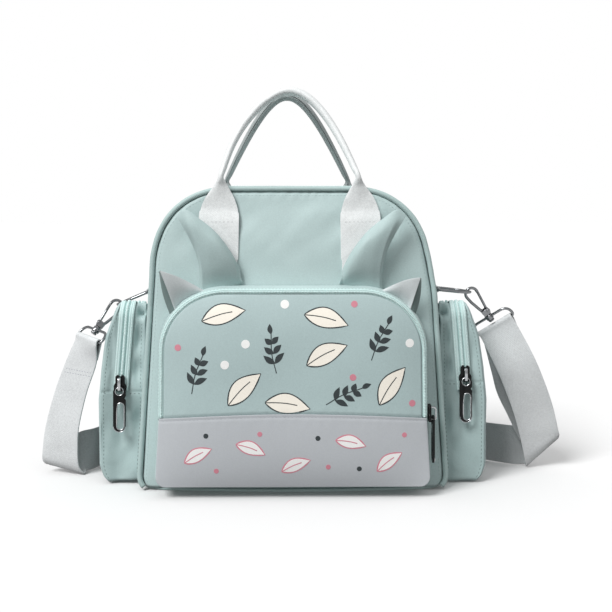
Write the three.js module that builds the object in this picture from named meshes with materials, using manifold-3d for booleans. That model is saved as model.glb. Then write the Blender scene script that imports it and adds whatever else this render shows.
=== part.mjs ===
// Diaper backpack of soft nylon with webbing handles, ear flaps and a clip-on shoulder strap.
// Millimetres. +Z is up, the front faces -Y, and the origin is under the middle of the base.
// "Left" is the -X side.
import * as THREE from "three";
import Module from "manifold-3d";

const wasm = await Module();
wasm.setup();

// Clearance between neighbouring pieces, and the cloth and webbing stock.
const GAP = 0.3;
const CLOTH = 2;
const WEB_WIDE = 41.5;
const WEB_THICK = 1.6;

// Main body: arch-shaped front and back, leaning back a little at the front.
const BODY = {
  lowHalf: 156,
  lowZ: 14,
  footRound: 12,
  shoulderHalf: 144.5,
  shoulderZ: 215,
  shoulderBend: 2.3,
  flatHalf: 60,
  top: 304,
  frontLow: -68,
  frontTop: -60,
  back: 66,
  dome: 3,
  sideSteps: 5,
  cornerSteps: 9,
};
const BASE = { half: 152, frontCorner: -62, frontMiddle: -78, cornerRadius: 14, thick: 3 };
const PIPING_RADIUS = 3;
const GUSSET_INSET = 1;
const MAIN_ZIP = { half: 14, thick: 1.2, fromStep: 2 };

// Front pocket: its own arch outline, standing off the front panel.
const POCKET = {
  half: 131,
  top: 202,
  bottom: 11,
  cornerX: 88,
  cornerZ: 144,
  footRadius: 10,
  footWiden: 3,
  flare: 3,
  depthLow: 33,
  depthTop: 25,
  bulge: 10,
  seamZ: 77,
  seamRise: 6,
  sideSteps: 5,
  cornerSteps: 8,
  footSteps: 4,
};
const POCKET_ZIP = { radius: 2.3, inset: 2.6, endZ: 84 };

// Ear flaps, right-hand side: columns from the inner edge to the fold, then the outer flap.
const EAR_THICK = 2.4;
const EAR_ROWS = 7;
const EAR_BOW = 5;
const EAR_LEAF = [
  { baseX: 49.5, baseZ: 205.1, baseY: -71.6, topX: 53, topZ: 222, topY: -71.8 },
  { baseX: 58, baseZ: 205.1, baseY: -73.6, topX: 61, topZ: 238, topY: -73.0 },
  { baseX: 69, baseZ: 205.1, baseY: -75.4, topX: 76, topZ: 258, topY: -73.2 },
  { baseX: 81, baseZ: 205.1, baseY: -76.2, topX: 95, topZ: 275, topY: -72.0 },
  { baseX: 93, baseZ: 205.1, baseY: -75.0, topX: 117, topZ: 281, topY: -70.5 },
];
const EAR_FLAP = [
  { baseX: 90, baseZ: 205.1, baseY: -73.6, topX: 92, topZ: 212, topY: -74.0 },
  { baseX: 99, baseZ: 203.8, baseY: -73.0, topX: 105, topZ: 213, topY: -76.0 },
  { baseX: 107, baseZ: 200.2, baseY: -73.4, topX: 118, topZ: 216, topY: -81.0 },
  { baseX: 114, baseZ: 195, baseY: -73.8, topX: 132, topZ: 221, topY: -88.0 },
  { baseX: 120, baseZ: 188.7, baseY: -73.0, topX: 125, topZ: 200, topY: -78.0 },
];

// Handles: flat tab on the panel, narrow neck above the top edge, folded webbing arch.
const HANDLE = {
  x: 71.5,
  neckZ: 313,
  top: 403,
  crownBend: 38,
  meetY: 14,
  archSteps: 9,
  sides: 8,
};
const HANDLE_TAB = [
  { z: 207, wide: 39, deep: 2.0 },
  { z: 240, wide: 39, deep: 2.0 },
  { z: 268, wide: 39, deep: 2.0 },
  { z: 281, wide: 37, deep: 2.4 },
  { z: 292, wide: 29, deep: 3.2 },
  { z: 300, wide: 19.5, deep: 4.4 },
  { z: 306, wide: 12, deep: 5.8 },
];
const HANDLE_NECK = { wide: 5.5, deep: 8 };
const HANDLE_CROWN = { wide: 9.5, deep: 17 };

// Side pockets: cups sewn to the bag's flanks, with a dent under the clip hook.
const SIDE_POCKET = {
  halfY: 46,
  low: 1,
  top: 187,
  topRadius: 18,
  footRadius: 5,
  sag: 9,
  sagHalf: 36,
  zipLow: 95,
  dentDepth: 8,
  dentY: 20,
  dentZ: 168,
  dentTall: 26,
};
const SIDE_EDGE = [
  { z: 0, x: 190 },
  { z: 8, x: 196 },
  { z: 18, x: 199.5 },
  { z: 85, x: 200.5 },
  { z: 118, x: 197.5 },
  { z: 150, x: 193 },
  { z: 176, x: 184 },
  { z: 200, x: 176 },
];
const SIDE_RINGS = [
  { inset: 0, out: -3 },
  { inset: 3, out: 0 },
  { inset: 13, out: 0.5 },
  { inset: 30, out: -4.5 },
];
const SIDE_ZIP = { half: 7.6, tape: 1, coilHalf: 1.8, coil: 1.9, topX: 169, lowX: 176 };

// Zip slider and pull, in their own frame: a across, b up, c outward, pull bar at the origin.
const SLIDER = {
  plateTop: 11.5,
  plateLow: -5,
  plateBack: -5,
  plateFront: -2.2,
  neckHalf: 4.6,
  footHalf: 6.4,
  bailHalf: 1.5,
  bailTop: 9.4,
  bailLow: -3.6,
  bailWall: 1.4,
  bailOut: 3.3,
};
const PULL = {
  half: 6.4,
  top: 0.9,
  low: -46,
  thick: 2,
  ringZ: -4.4,
  ringRadius: 3.5,
  slotHalf: 3.8,
  slotShift: 1.1,
  slotTop: -16,
  slotLow: -43.4,
};
const SIDE_PULL_Z = { left: 100.5, right: 109.5 };
const FRONT_PULL = { x: 137.4, y: -91, z: 78 };

// Clip hardware. One row for each side: where the ring bar sits, how far the ring droops,
// and which way the hook and the strap bar run (right-hand components, x outward).
const RING = { barX: 152, half: 18, deep: 38, straight: 16, wire: 1.5 };
const RING_TAB = { half: 16, radius: 3.7, hole: 2, tailTop: 210, tailThick: 2 };
const HOOK = {
  bow: 6.4,
  wire: 1.6,
  tipDown: 9,
  pinOut: 2.6,
  pinDown: 32,
  pinRadius: 1.1,
  cheekIn: 2.1,
  cheekOut: 3.3,
  shankRadius: 2,
  shankLow: 43,
  headRadius: 3.4,
  headLow: 45,
};
const GATE = { wire: 1.4, footRadius: 2.5, footHalf: 1.7, hole: 1.5 };
const LOOP = {
  half: 23.2,
  down: 39.5,
  barDown: 52,
  wire: 1.5,
  topRadius: 8,
  lowRadius: 3,
  collarIn: 2.4,
  collarOut: 4.2,
  collarHalf: 2.9,
};
const CLIP_SIDES = [
  { name: "left", sign: -1, ringZ: 194, droop: 23, hookX: 0.58, hookY: -0.42, hookZ: -0.735, barX: 0.66, barY: 0.74, barZ: 0.1 },
  { name: "right", sign: 1, ringZ: 196, droop: 6, hookX: 0.61, hookY: 0.2, hookZ: -0.76, barX: 0.82, barY: -0.35, barZ: 0.566 },
];

// Shoulder strap: both edges of the webbing, from each bar down to the fold on the floor
// and on behind the bag, where it stands on its inner edge.
const STRAP_LEFT = [
  { innerX: -203.9, innerY: -28, innerZ: 122.7, outerX: -238, outerY: -5, outerZ: 126.4 },
  { innerX: -216.3, innerY: -20, innerZ: 87.1, outerX: -253.1, outerY: 0, outerZ: 88.2 },
  { innerX: -225.3, innerY: -16, innerZ: 49.6, outerX: -264, outerY: 1, outerZ: 47.6 },
  { innerX: -226.6, innerY: -14.5, innerZ: 30.9, outerX: -266.4, outerY: 0, outerZ: 27.5 },
  { innerX: -225.4, innerY: -13, innerZ: 9.4, outerX: -267, outerY: 1, outerZ: 13.3 },
  { innerX: -220.5, innerY: -9.5, innerZ: 1.4, outerX: -263.5, outerY: 5, outerZ: 8.6 },
  { innerX: -219.5, innerY: -4.5, innerZ: 3.6, outerX: -260, outerY: 9.5, outerZ: 15 },
  { innerX: -218.5, innerY: 0, innerZ: 2.4, outerX: -247, outerY: 14, outerZ: 30.5 },
  { innerX: -216.5, innerY: 5.5, innerZ: 1.6, outerX: -231, outerY: 17.5, outerZ: 39.5 },
  { innerX: -213, innerY: 16, innerZ: 1.1, outerX: -217.5, outerY: 23, outerZ: 42 },
  { innerX: -208, innerY: 38, innerZ: 1, outerX: -208, outerY: 39, outerZ: 42.5 },
  { innerX: -190, innerY: 65, innerZ: 1, outerX: -190, outerY: 65, outerZ: 42.5 },
  { innerX: -130, innerY: 84, innerZ: 1, outerX: -130, outerY: 84, outerZ: 42.5 },
  { innerX: -50, innerY: 88, innerZ: 1, outerX: -50, outerY: 88, outerZ: 42.5 },
];
const STRAP_RIGHT = [
  { innerX: 221, innerY: 5, innerZ: 104.5, outerX: 257.5, outerY: -2, outerZ: 124.4 },
  { innerX: 230.4, innerY: 5, innerZ: 81.6, outerX: 268.8, outerY: 1, outerZ: 99.3 },
  { innerX: 239, innerY: 6, innerZ: 57.5, outerX: 280.3, outerY: 6, outerZ: 68.6 },
  { innerX: 246.7, innerY: 9, innerZ: 30, outerX: 287.4, outerY: 9, outerZ: 40.5 },
  { innerX: 251.5, innerY: 11, innerZ: 9, outerX: 288.4, outerY: 11, outerZ: 37 },
  { innerX: 254, innerY: 14.5, innerZ: 1.6, outerX: 289.8, outerY: 14.5, outerZ: 32.4 },
  { innerX: 252, innerY: 18.5, innerZ: 3.2, outerX: 286.8, outerY: 18.5, outerZ: 36 },
  { innerX: 249.5, innerY: 21.5, innerZ: 1.9, outerX: 268.5, outerY: 22.5, outerZ: 40.8 },
  { innerX: 240, innerY: 26, innerZ: 1.2, outerX: 248, outerY: 27, outerZ: 42.3 },
  { innerX: 214, innerY: 46, innerZ: 1, outerX: 216, outerY: 46, outerZ: 42.5 },
  { innerX: 184, innerY: 68, innerZ: 1, outerX: 184, outerY: 68, outerZ: 42.5 },
  { innerX: 130, innerY: 84, innerZ: 1, outerX: 130, outerY: 84, outerZ: 42.5 },
  { innerX: 50, innerY: 88, innerZ: 1, outerX: 50, outerY: 88, outerZ: 42.5 },
];
const STRAP_END = { wrap: 2.9, lie: 1.1, closeBy: 13, wrapSteps: 6 };
// The layers turned back at the bars: how far each station lies inside and behind the front layer.
const STRAP_UNDER_LEFT = [{ inward: 0, behind: 3.4 }];
const STRAP_UNDER_RIGHT = [
  { inward: 6, behind: 6 },
  { inward: 9, behind: 8 },
  { inward: 6, behind: 8 },
  { inward: 0.5, behind: 5 },
];
const STRAP_STEPS = 56;

const COLOURS = {
  mint: { color: 0xaac1be, roughness: 0.75, metalness: 0 },
  paleZip: { color: 0xd4ecea, roughness: 0.7, metalness: 0 },
  greyCloth: { color: 0xb2b4ba, roughness: 0.8, metalness: 0 },
  webbing: { color: 0xe4e6e7, roughness: 0.8, metalness: 0 },
  black: { color: 0x17191a, roughness: 0.35, metalness: 0.6 },
  gunmetal: { color: 0x5d6062, roughness: 0.3, metalness: 1 },
};

const V = (x, y, z) => new THREE.Vector3(x, y, z);
const mix = (a, b, t) => a + (b - a) * t;

// Rows of a table blended at a value of one of its columns.
function lookUp(table, key, value, field) {
  for (let i = 1; i < table.length; i++) {
    const low = table[i - 1];
    const high = table[i];
    if (value <= high[key]) {
      return mix(low[field], high[field], (value - low[key]) / (high[key] - low[key]));
    }
  }
  return table[table.length - 1][field];
}

// A closed body from points and triangles, turned so that its faces look outward.
function closedBody(points, faces) {
  let volume = 0;
  for (const [a, b, c] of faces) {
    volume += points[a].dot(new THREE.Vector3().crossVectors(points[b], points[c]));
  }
  const ordered = volume < 0 ? faces.map(([a, b, c]) => [a, c, b]) : faces;
  const geometry = new THREE.BufferGeometry().setFromPoints(points);
  geometry.setIndex(ordered.flat());
  geometry.computeVertexNormals();
  return geometry;
}

// Cloth wall between an outer and an inner grid of points; loop joins the last column to the first.
function wall(outer, inner, loop = false) {
  const rows = outer.length;
  const cols = outer[0].length;
  const points = [...outer.flat(), ...inner.flat()];
  const at = (side, r, c) => (side * rows + r) * cols + (c % cols);
  const faces = [];
  const quad = (a, b, c, d) => faces.push([a, b, c], [a, c, d]);
  const last = loop ? cols : cols - 1;
  for (let r = 0; r < rows - 1; r++) {
    for (let c = 0; c < last; c++) {
      quad(at(0, r, c), at(0, r, c + 1), at(0, r + 1, c + 1), at(0, r + 1, c));
      quad(at(1, r + 1, c), at(1, r + 1, c + 1), at(1, r, c + 1), at(1, r, c));
    }
  }
  for (let c = 0; c < last; c++) {
    quad(at(1, 0, c), at(1, 0, c + 1), at(0, 0, c + 1), at(0, 0, c));
    quad(at(0, rows - 1, c), at(0, rows - 1, c + 1), at(1, rows - 1, c + 1), at(1, rows - 1, c));
  }
  if (!loop) {
    for (let r = 0; r < rows - 1; r++) {
      quad(at(0, r, 0), at(0, r + 1, 0), at(1, r + 1, 0), at(1, r, 0));
      quad(at(0, r + 1, cols - 1), at(0, r, cols - 1), at(1, r, cols - 1), at(1, r + 1, cols - 1));
    }
  }
  return closedBody(points, faces);
}

// Cup-shaped wall: rings from the rim inward, each surface closed by a fan at its middle.
function cup(outerRings, outerMiddle, innerRings, innerMiddle) {
  const count = outerRings[0].length;
  const rings = outerRings.length;
  const points = [...outerRings.flat(), ...innerRings.flat(), outerMiddle, innerMiddle];
  const at = (side, r, c) => (side * rings + r) * count + (c % count);
  const middle = 2 * rings * count;
  const faces = [];
  const quad = (a, b, c, d) => faces.push([a, b, c], [a, c, d]);
  for (let c = 0; c < count; c++) {
    for (let r = 0; r < rings - 1; r++) {
      quad(at(0, r, c), at(0, r, c + 1), at(0, r + 1, c + 1), at(0, r + 1, c));
      quad(at(1, r + 1, c), at(1, r + 1, c + 1), at(1, r, c + 1), at(1, r, c));
    }
    quad(at(1, 0, c), at(1, 0, c + 1), at(0, 0, c + 1), at(0, 0, c));
    faces.push([at(0, rings - 1, c), at(0, rings - 1, c + 1), middle]);
    faces.push([at(1, rings - 1, c + 1), at(1, rings - 1, c), middle + 1]);
  }
  return closedBody(points, faces);
}

// Body swept through rings of points, either closed on itself or capped at both ends.
function sweep(rings, closed = false) {
  const count = rings[0].length;
  const points = rings.flat();
  const at = (r, c) => (r % rings.length) * count + (c % count);
  const faces = [];
  const spans = closed ? rings.length : rings.length - 1;
  for (let r = 0; r < spans; r++) {
    for (let c = 0; c < count; c++) {
      faces.push([at(r, c), at(r, c + 1), at(r + 1, c + 1)], [at(r, c), at(r + 1, c + 1), at(r + 1, c)]);
    }
  }
  if (!closed) {
    const end = rings.length - 1;
    for (let c = 1; c < count - 1; c++) {
      faces.push([at(0, 0), at(0, c + 1), at(0, c)], [at(end, 0), at(end, c), at(end, c + 1)]);
    }
  }
  return closedBody(points, faces);
}

// Direction of a run of points at one of them.
function heading(points, i, closed) {
  const n = points.length;
  const before = closed ? points[(i + n - 1) % n] : points[Math.max(i - 1, 0)];
  const after = closed ? points[(i + 1) % n] : points[Math.min(i + 1, n - 1)];
  return after.clone().sub(before).normalize();
}

// Round wire through points; side is a direction never in line with the run.
function wire(points, radius, sides, side, closed = false) {
  const rings = points.map((p, i) => {
    const along = heading(points, i, closed);
    const across = new THREE.Vector3().crossVectors(along, side).normalize();
    const up = new THREE.Vector3().crossVectors(across, along);
    const ring = [];
    for (let k = 0; k < sides; k++) {
      const turn = (k / sides) * 2 * Math.PI;
      ring.push(
        p.clone().addScaledVector(across, radius * Math.cos(turn)).addScaledVector(up, radius * Math.sin(turn)),
      );
    }
    return ring;
  });
  return sweep(rings, closed);
}

// One solid from several overlapping ones.
function fuse(geometries) {
  let body = null;
  for (const geometry of geometries) {
    const source = geometry.index ? geometry : weld(geometry);
    const mesh = new wasm.Mesh({
      numProp: 3,
      vertProperties: new Float32Array(source.attributes.position.array),
      triVerts: new Uint32Array(source.index.array),
    });
    mesh.merge();
    const next = new wasm.Manifold(mesh);
    body = body ? body.add(next) : next;
  }
  const result = body.getMesh();
  const geometry = new THREE.BufferGeometry();
  geometry.setAttribute("position", new THREE.BufferAttribute(new Float32Array(result.vertProperties), 3));
  geometry.setIndex(new THREE.BufferAttribute(new Uint32Array(result.triVerts), 1));
  geometry.computeVertexNormals();
  return geometry;
}

// Triangle soup given an index, with equal corners shared.
function weld(geometry) {
  const position = geometry.attributes.position;
  const seen = new Map();
  const points = [];
  const index = [];
  for (let i = 0; i < position.count; i++) {
    const p = V(position.getX(i), position.getY(i), position.getZ(i));
    const key = [p.x, p.y, p.z].map((value) => Math.round(value * 1e4)).join(",");
    if (!seen.has(key)) {
      seen.set(key, points.length);
      points.push(p);
    }
    index.push(seen.get(key));
  }
  const indexed = new THREE.BufferGeometry().setFromPoints(points);
  indexed.setIndex(index);
  return indexed;
}

// Flat outline pushed out by a depth, then stood in a frame of three directions.
function plate(shape, depth, start, frame, curveSteps = 6) {
  const geometry = new THREE.ExtrudeGeometry(shape, { depth, bevelEnabled: false, curveSegments: curveSteps });
  geometry.translate(0, 0, start);
  geometry.applyMatrix4(frame);
  return weld(geometry);
}

function frameOf(origin, a, b, c) {
  return new THREE.Matrix4().makeBasis(a, b, c).setPosition(origin);
}

// Puffed cloth: 1 in the middle, 0 along the edges.
function puff(u, v) {
  return Math.max(0, 1 - u ** 4) * Math.max(0, 1 - v ** 4);
}

// Body outline.
function bodyHalf(z, inset = 0) {
  if (z < BODY.lowZ) {
    const t = 1 - z / BODY.lowZ;
    return BODY.lowHalf - BODY.footRound * (1 - Math.sqrt(1 - t * t)) - inset;
  }
  if (z <= BODY.shoulderZ) {
    const t = (z - BODY.lowZ) / (BODY.shoulderZ - BODY.lowZ);
    return mix(BODY.lowHalf, BODY.shoulderHalf, t) - inset;
  }
  const rise = (z - BODY.shoulderZ) / (BODY.top - inset - BODY.shoulderZ);
  const reach = BODY.shoulderHalf - BODY.flatHalf - inset;
  return BODY.flatHalf + reach * Math.max(0, 1 - rise ** BODY.shoulderBend) ** (1 / BODY.shoulderBend);
}

// Right half of the outline, from the foot up to the end of the flat top.
function bodyRight(inset, footZ) {
  const points = [footZ, mix(footZ, BODY.lowZ, 0.4)].map((z) => ({ x: bodyHalf(z, inset), z }));
  for (let i = 0; i <= BODY.sideSteps; i++) {
    const z = mix(BODY.lowZ, BODY.shoulderZ, i / BODY.sideSteps);
    points.push({ x: bodyHalf(z, inset), z });
  }
  const reach = BODY.shoulderHalf - BODY.flatHalf - inset;
  const power = 2 / BODY.shoulderBend;
  for (let i = 1; i <= BODY.cornerSteps; i++) {
    const turn = ((i / BODY.cornerSteps) * Math.PI) / 2;
    points.push({
      x: BODY.flatHalf + reach * Math.abs(Math.cos(turn)) ** power,
      z: BODY.shoulderZ + (BODY.top - BODY.shoulderZ - inset) * Math.sin(turn) ** power,
    });
  }
  return points;
}

function overTheTop(right) {
  return [...right, ...right.map(({ x, z }) => ({ x: -x, z })).reverse()];
}

const frontEdge = (z) => mix(BODY.frontLow, BODY.frontTop, z / BODY.top);

function frontFace(x, z) {
  return frontEdge(z) - CLOTH / 2 - BODY.dome * puff(x / bodyHalf(z), (2 * z) / BODY.top - 1);
}

// Grid of points across rows of an outline.
function acrossRows(rows, cols, pointAt) {
  return rows.map(({ x, z }) => {
    const row = [];
    for (let c = 0; c <= cols; c++) {
      const u = (2 * c) / cols - 1;
      row.push(pointAt(u * x, z, u));
    }
    return row;
  });
}

const shifted = (grid, y) => grid.map((row) => row.map((p) => V(p.x, p.y + y, p.z)));

// Main body pieces.
const footZ = BASE.thick + GAP;

function frontPanel() {
  const rows = bodyRight(2 * PIPING_RADIUS + 3 * GAP, footZ);
  const outer = acrossRows(rows, 12, (x, z) => V(x, frontFace(x, z), z));
  return wall(outer, shifted(outer, CLOTH));
}

function backPanel() {
  const rows = bodyRight(GUSSET_INSET, footZ);
  const outer = acrossRows(rows, 2, (x, z) => V(x, BODY.back, z));
  return wall(outer, shifted(outer, -CLOTH));
}

function sideGusset() {
  const band = (inset) =>
    overTheTop(bodyRight(inset, footZ)).map(({ x, z }) => [
      V(x, frontEdge(z) + PIPING_RADIUS + GAP, z),
      V(x, BODY.back - CLOTH - GAP, z),
    ]);
  return wall(band(GUSSET_INSET), band(GUSSET_INSET + CLOTH));
}

function basePanel() {
  const r = BASE.cornerRadius;
  const back = BODY.back;
  const shape = new THREE.Shape();
  shape.moveTo(BASE.half - r, back);
  shape.lineTo(-BASE.half + r, back);
  shape.quadraticCurveTo(-BASE.half, back, -BASE.half, back - r);
  shape.lineTo(-BASE.half, BASE.frontCorner + r);
  shape.quadraticCurveTo(-BASE.half, BASE.frontCorner, -BASE.half + 1.6 * r, BASE.frontCorner - r / 2);
  shape.quadraticCurveTo(0, 2 * BASE.frontMiddle - BASE.frontCorner + r / 2, BASE.half - 1.6 * r, BASE.frontCorner - r / 2);
  shape.quadraticCurveTo(BASE.half, BASE.frontCorner, BASE.half, BASE.frontCorner + r);
  shape.lineTo(BASE.half, back - r);
  shape.quadraticCurveTo(BASE.half, back, BASE.half - r, back);
  return plate(shape, BASE.thick, 0, new THREE.Matrix4(), 8);
}

function frontPiping() {
  const run = overTheTop(bodyRight(PIPING_RADIUS, footZ)).map(({ x, z }) => V(x, frontEdge(z), z));
  return wire(run, PIPING_RADIUS, 7, V(0, 1, 0));
}

function mainZip() {
  const run = (inset) =>
    overTheTop(bodyRight(inset, footZ).slice(BODY.sideSteps + 2 + MAIN_ZIP.fromStep)).map(({ x, z }) => [
      V(x, -MAIN_ZIP.half, z),
      V(x, MAIN_ZIP.half, z),
    ]);
  return wall(run(GUSSET_INSET - GAP - MAIN_ZIP.thick), run(GUSSET_INSET - GAP));
}

// Front pocket.
function pocketRight(inset) {
  const foot = POCKET.footRadius;
  const footX = POCKET.half - foot;
  const footCentre = POCKET.bottom + foot;
  const points = [];
  for (let i = 0; i <= POCKET.footSteps; i++) {
    const turn = ((i / POCKET.footSteps) * Math.PI) / 2;
    points.push({
      x: footX + (foot - inset) * Math.sin(turn),
      z: footCentre - (foot - inset) * Math.cos(turn),
    });
  }
  for (let i = 1; i <= POCKET.sideSteps; i++) {
    points.push({ x: POCKET.half - inset, z: mix(footCentre, POCKET.cornerZ, i / POCKET.sideSteps) });
  }
  for (let i = 1; i <= POCKET.cornerSteps; i++) {
    const turn = ((i / POCKET.cornerSteps) * Math.PI) / 2;
    points.push({
      x: POCKET.cornerX + (POCKET.half - POCKET.cornerX - inset) * Math.cos(turn),
      z: POCKET.cornerZ + (POCKET.top - POCKET.cornerZ - inset) * Math.sin(turn),
    });
  }
  return points.map(({ x, z }) => {
    const below = Math.max(0, (POCKET.seamZ - z) / (POCKET.seamZ - POCKET.bottom));
    return { x: x + POCKET.footWiden * below, z };
  });
}

const pocketMiddleZ = (POCKET.top + POCKET.bottom) / 2;
const pocketSpan = (POCKET.top - POCKET.bottom) / 2;

function pocketEdge(z) {
  const t = (z - POCKET.bottom) / (POCKET.top - POCKET.bottom);
  return frontEdge(z) - mix(POCKET.depthLow, POCKET.depthTop, t);
}

// Wall of the pocket, flaring a little where it is sewn to the front panel.
function pocketWall() {
  const ring = (inset, depthAt) => overTheTop(pocketRight(inset)).map(({ x, z }) => V(x, depthAt(x, z), z));
  const atPanel = (x, z) => frontFace(x, z) - 3 * GAP;
  const atFace = (x, z) => pocketEdge(z) + POCKET_ZIP.radius + 2 * GAP;
  const outer = [ring(-POCKET.flare, atPanel), ring(0, atFace)];
  const inner = [ring(CLOTH - POCKET.flare, atPanel), ring(CLOTH, atFace)];
  return wall(outer, inner, true);
}

// Rise of the seam between the two face panels, fading out to the top and the bottom.
function seamLift(u, z) {
  const fade = z > POCKET.seamZ
    ? (POCKET.top - z) / (POCKET.top - POCKET.seamZ)
    : (z - POCKET.bottom) / (POCKET.seamZ - POCKET.bottom);
  return POCKET.seamRise * (1 - u * u) * Math.max(0, fade);
}

function pocketPanel(rows, edgeBack) {
  const outer = acrossRows(rows, 14, (x, z, u) => {
    const v = (z - pocketMiddleZ) / pocketSpan;
    const y = pocketEdge(z) + edgeBack - (POCKET.bulge + edgeBack) * puff(u, v);
    return V(x, y, z + seamLift(x / POCKET.half, z));
  });
  return wall(outer, shifted(outer, CLOTH));
}

function pocketUpper() {
  const inset = POCKET_ZIP.inset + POCKET_ZIP.radius + GAP;
  const above = pocketRight(inset).filter(({ z }) => z > POCKET.seamZ + 4);
  const seam = { x: POCKET.half - inset, z: POCKET.seamZ + GAP };
  return pocketPanel([seam, ...above], -CLOTH / 2);
}

function pocketLower() {
  const inset = 0.5;
  const below = pocketRight(inset).filter(({ z }) => z < POCKET.seamZ - 4);
  const seam = { x: POCKET.half - inset, z: POCKET.seamZ - GAP };
  return pocketPanel([...below, seam], 0.2);
}

function pocketZip() {
  const right = pocketRight(POCKET_ZIP.inset).filter(({ z }) => z > POCKET_ZIP.endZ + 4);
  const start = { x: POCKET.half - POCKET_ZIP.inset, z: POCKET_ZIP.endZ };
  const run = overTheTop([start, ...right]).map(({ x, z }) => V(x, pocketEdge(z), z));
  return wire(run, POCKET_ZIP.radius, 6, V(0, 1, 0));
}

// Ear flaps.
function earSheet(columns, rowCount, bow, sign) {
  const outer = [];
  for (let r = 0; r <= rowCount; r++) {
    const t = r / rowCount;
    outer.push(
      columns.map((column, c) => {
        const lean = (bow * c) / (columns.length - 1);
        const x = mix(column.baseX, column.topX, t) - lean * Math.sin(Math.PI * t);
        const y = mix(column.baseY, column.topY, t);
        return V(sign * x, y, mix(column.baseZ, column.topZ, t));
      }),
    );
  }
  return wall(outer, shifted(outer, EAR_THICK));
}

function ear(sign) {
  return fuse([earSheet(EAR_LEAF, EAR_ROWS, EAR_BOW, sign), earSheet(EAR_FLAP, 4, 0, sign)]);
}

// Handles. The face is +1 for the back panel and -1 for the front panel.
function handle(face) {
  const stations = [];
  const seat = (x, z, deep) => {
    const clear = 2 * GAP + deep / 2;
    const panel = face > 0 ? BODY.back : frontFace(x, z);
    const piping = face > 0 ? BODY.back : frontEdge(z) - PIPING_RADIUS;
    const shelf = z > 285 ? (face > 0 ? piping : Math.min(panel, piping)) : panel;
    return shelf + face * clear;
  };
  for (const { z, wide, deep } of HANDLE_TAB) {
    stations.push({ x: HANDLE.x, y: seat(HANDLE.x, z, deep), z, wide, deep });
  }
  const neckY = face > 0 ? BODY.back + 4 : BODY.frontTop - 8;
  const fall = (x) => Math.hypot(x, HANDLE.crownBend) - HANDLE.crownBend;
  for (let i = 0; i <= HANDLE.archSteps; i++) {
    const t = i / HANDLE.archSteps;
    const x = HANDLE.x * (1 - t);
    const rise = 1 - fall(x) / fall(HANDLE.x);
    stations.push({
      x,
      y: mix(neckY, face * HANDLE.meetY, rise ** 0.9),
      z: mix(HANDLE.neckZ, HANDLE.top, rise),
      wide: mix(HANDLE_NECK.wide, HANDLE_CROWN.wide, Math.sqrt(t)),
      deep: mix(HANDLE_NECK.deep, HANDLE_CROWN.deep, Math.sqrt(t)),
    });
  }
  const mirrored = stations.slice(0, -1).reverse().map((s) => ({ ...s, x: -s.x }));
  const all = [...stations, ...mirrored];
  const centres = all.map((s) => V(s.x, s.y, s.z));
  const rings = all.map((s, i) => {
    const along = heading(centres, i, false);
    const through = V(0, 1, 0).addScaledVector(along, -along.y).normalize();
    const across = new THREE.Vector3().crossVectors(along, through);
    const ring = [];
    for (let k = 0; k < HANDLE.sides; k++) {
      const turn = ((k + 0.5) / HANDLE.sides) * 2 * Math.PI;
      const a = Math.sign(Math.cos(turn)) * Math.abs(Math.cos(turn)) ** 0.5;
      const b = Math.sign(Math.sin(turn)) * Math.abs(Math.sin(turn)) ** 0.5;
      ring.push(
        centres[i].clone().addScaledVector(across, (a * s.wide) / 2).addScaledVector(through, (b * s.deep) / 2),
      );
    }
    return ring;
  });
  return sweep(rings);
}

// Side pockets. The loop runs round the pocket's mouth on the bag: foot, front, top, back.
function sideLoop(inset) {
  const { halfY, low, top, topRadius, footRadius } = SIDE_POCKET;
  const points = [];
  const arc = (y, z, radius, from, to, steps) => {
    for (let i = 0; i <= steps; i++) {
      const turn = mix(from, to, i / steps);
      points.push({ y: y + radius * Math.cos(turn), z: z + radius * Math.sin(turn) });
    }
  };
  const foot = Math.max(footRadius - inset, 2);
  const crown = Math.max(topRadius - inset, 2);
  const footY = halfY - inset - foot;
  const crownY = halfY - inset - crown;
  const footCentre = low + inset + foot;
  const crownCentre = top - inset - crown;
  const side = (y) => {
    const levels = [BODY.lowZ, 64, SIDE_POCKET.zipLow, 132];
    const clear = (z) => Math.min(Math.max(z, footCentre + 4), crownCentre - 4);
    for (const z of levels.map(clear)) {
      points.push({ y, z });
    }
  };
  arc(-footY, footCentre, foot, 1.5 * Math.PI, Math.PI, 4);
  side(-halfY + inset);
  arc(-crownY, crownCentre, crown, Math.PI, 0.5 * Math.PI, 4);
  for (const t of [-0.5, 0, 0.5]) {
    points.push({ y: 2 * t * crownY * 0.66, z: top - inset });
  }
  arc(crownY, crownCentre, crown, 0.5 * Math.PI, 0, 4);
  const down = points.length;
  side(halfY - inset);
  points.push(...points.splice(down).reverse());
  arc(footY, footCentre, foot, 2 * Math.PI, 1.5 * Math.PI, 4);
  return points.map(({ y, z }) => {
    const reach = Math.max(0, 1 - (y / SIDE_POCKET.sagHalf) ** 2);
    const near = Math.max(0, (z - 150) / (top - 150));
    return { y, z: z - SIDE_POCKET.sag * reach * near };
  });
}

function sideOut(y, z, out) {
  const dent = Math.exp(-((y / SIDE_POCKET.dentY) ** 2) - ((z - SIDE_POCKET.dentZ) / SIDE_POCKET.dentTall) ** 2);
  return lookUp(SIDE_EDGE, "z", z, "x") + out - SIDE_POCKET.dentDepth * dent;
}

const flank = (z) => Math.max(bodyHalf(z) - GUSSET_INSET, BASE.half) + 2 * GAP;

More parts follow.
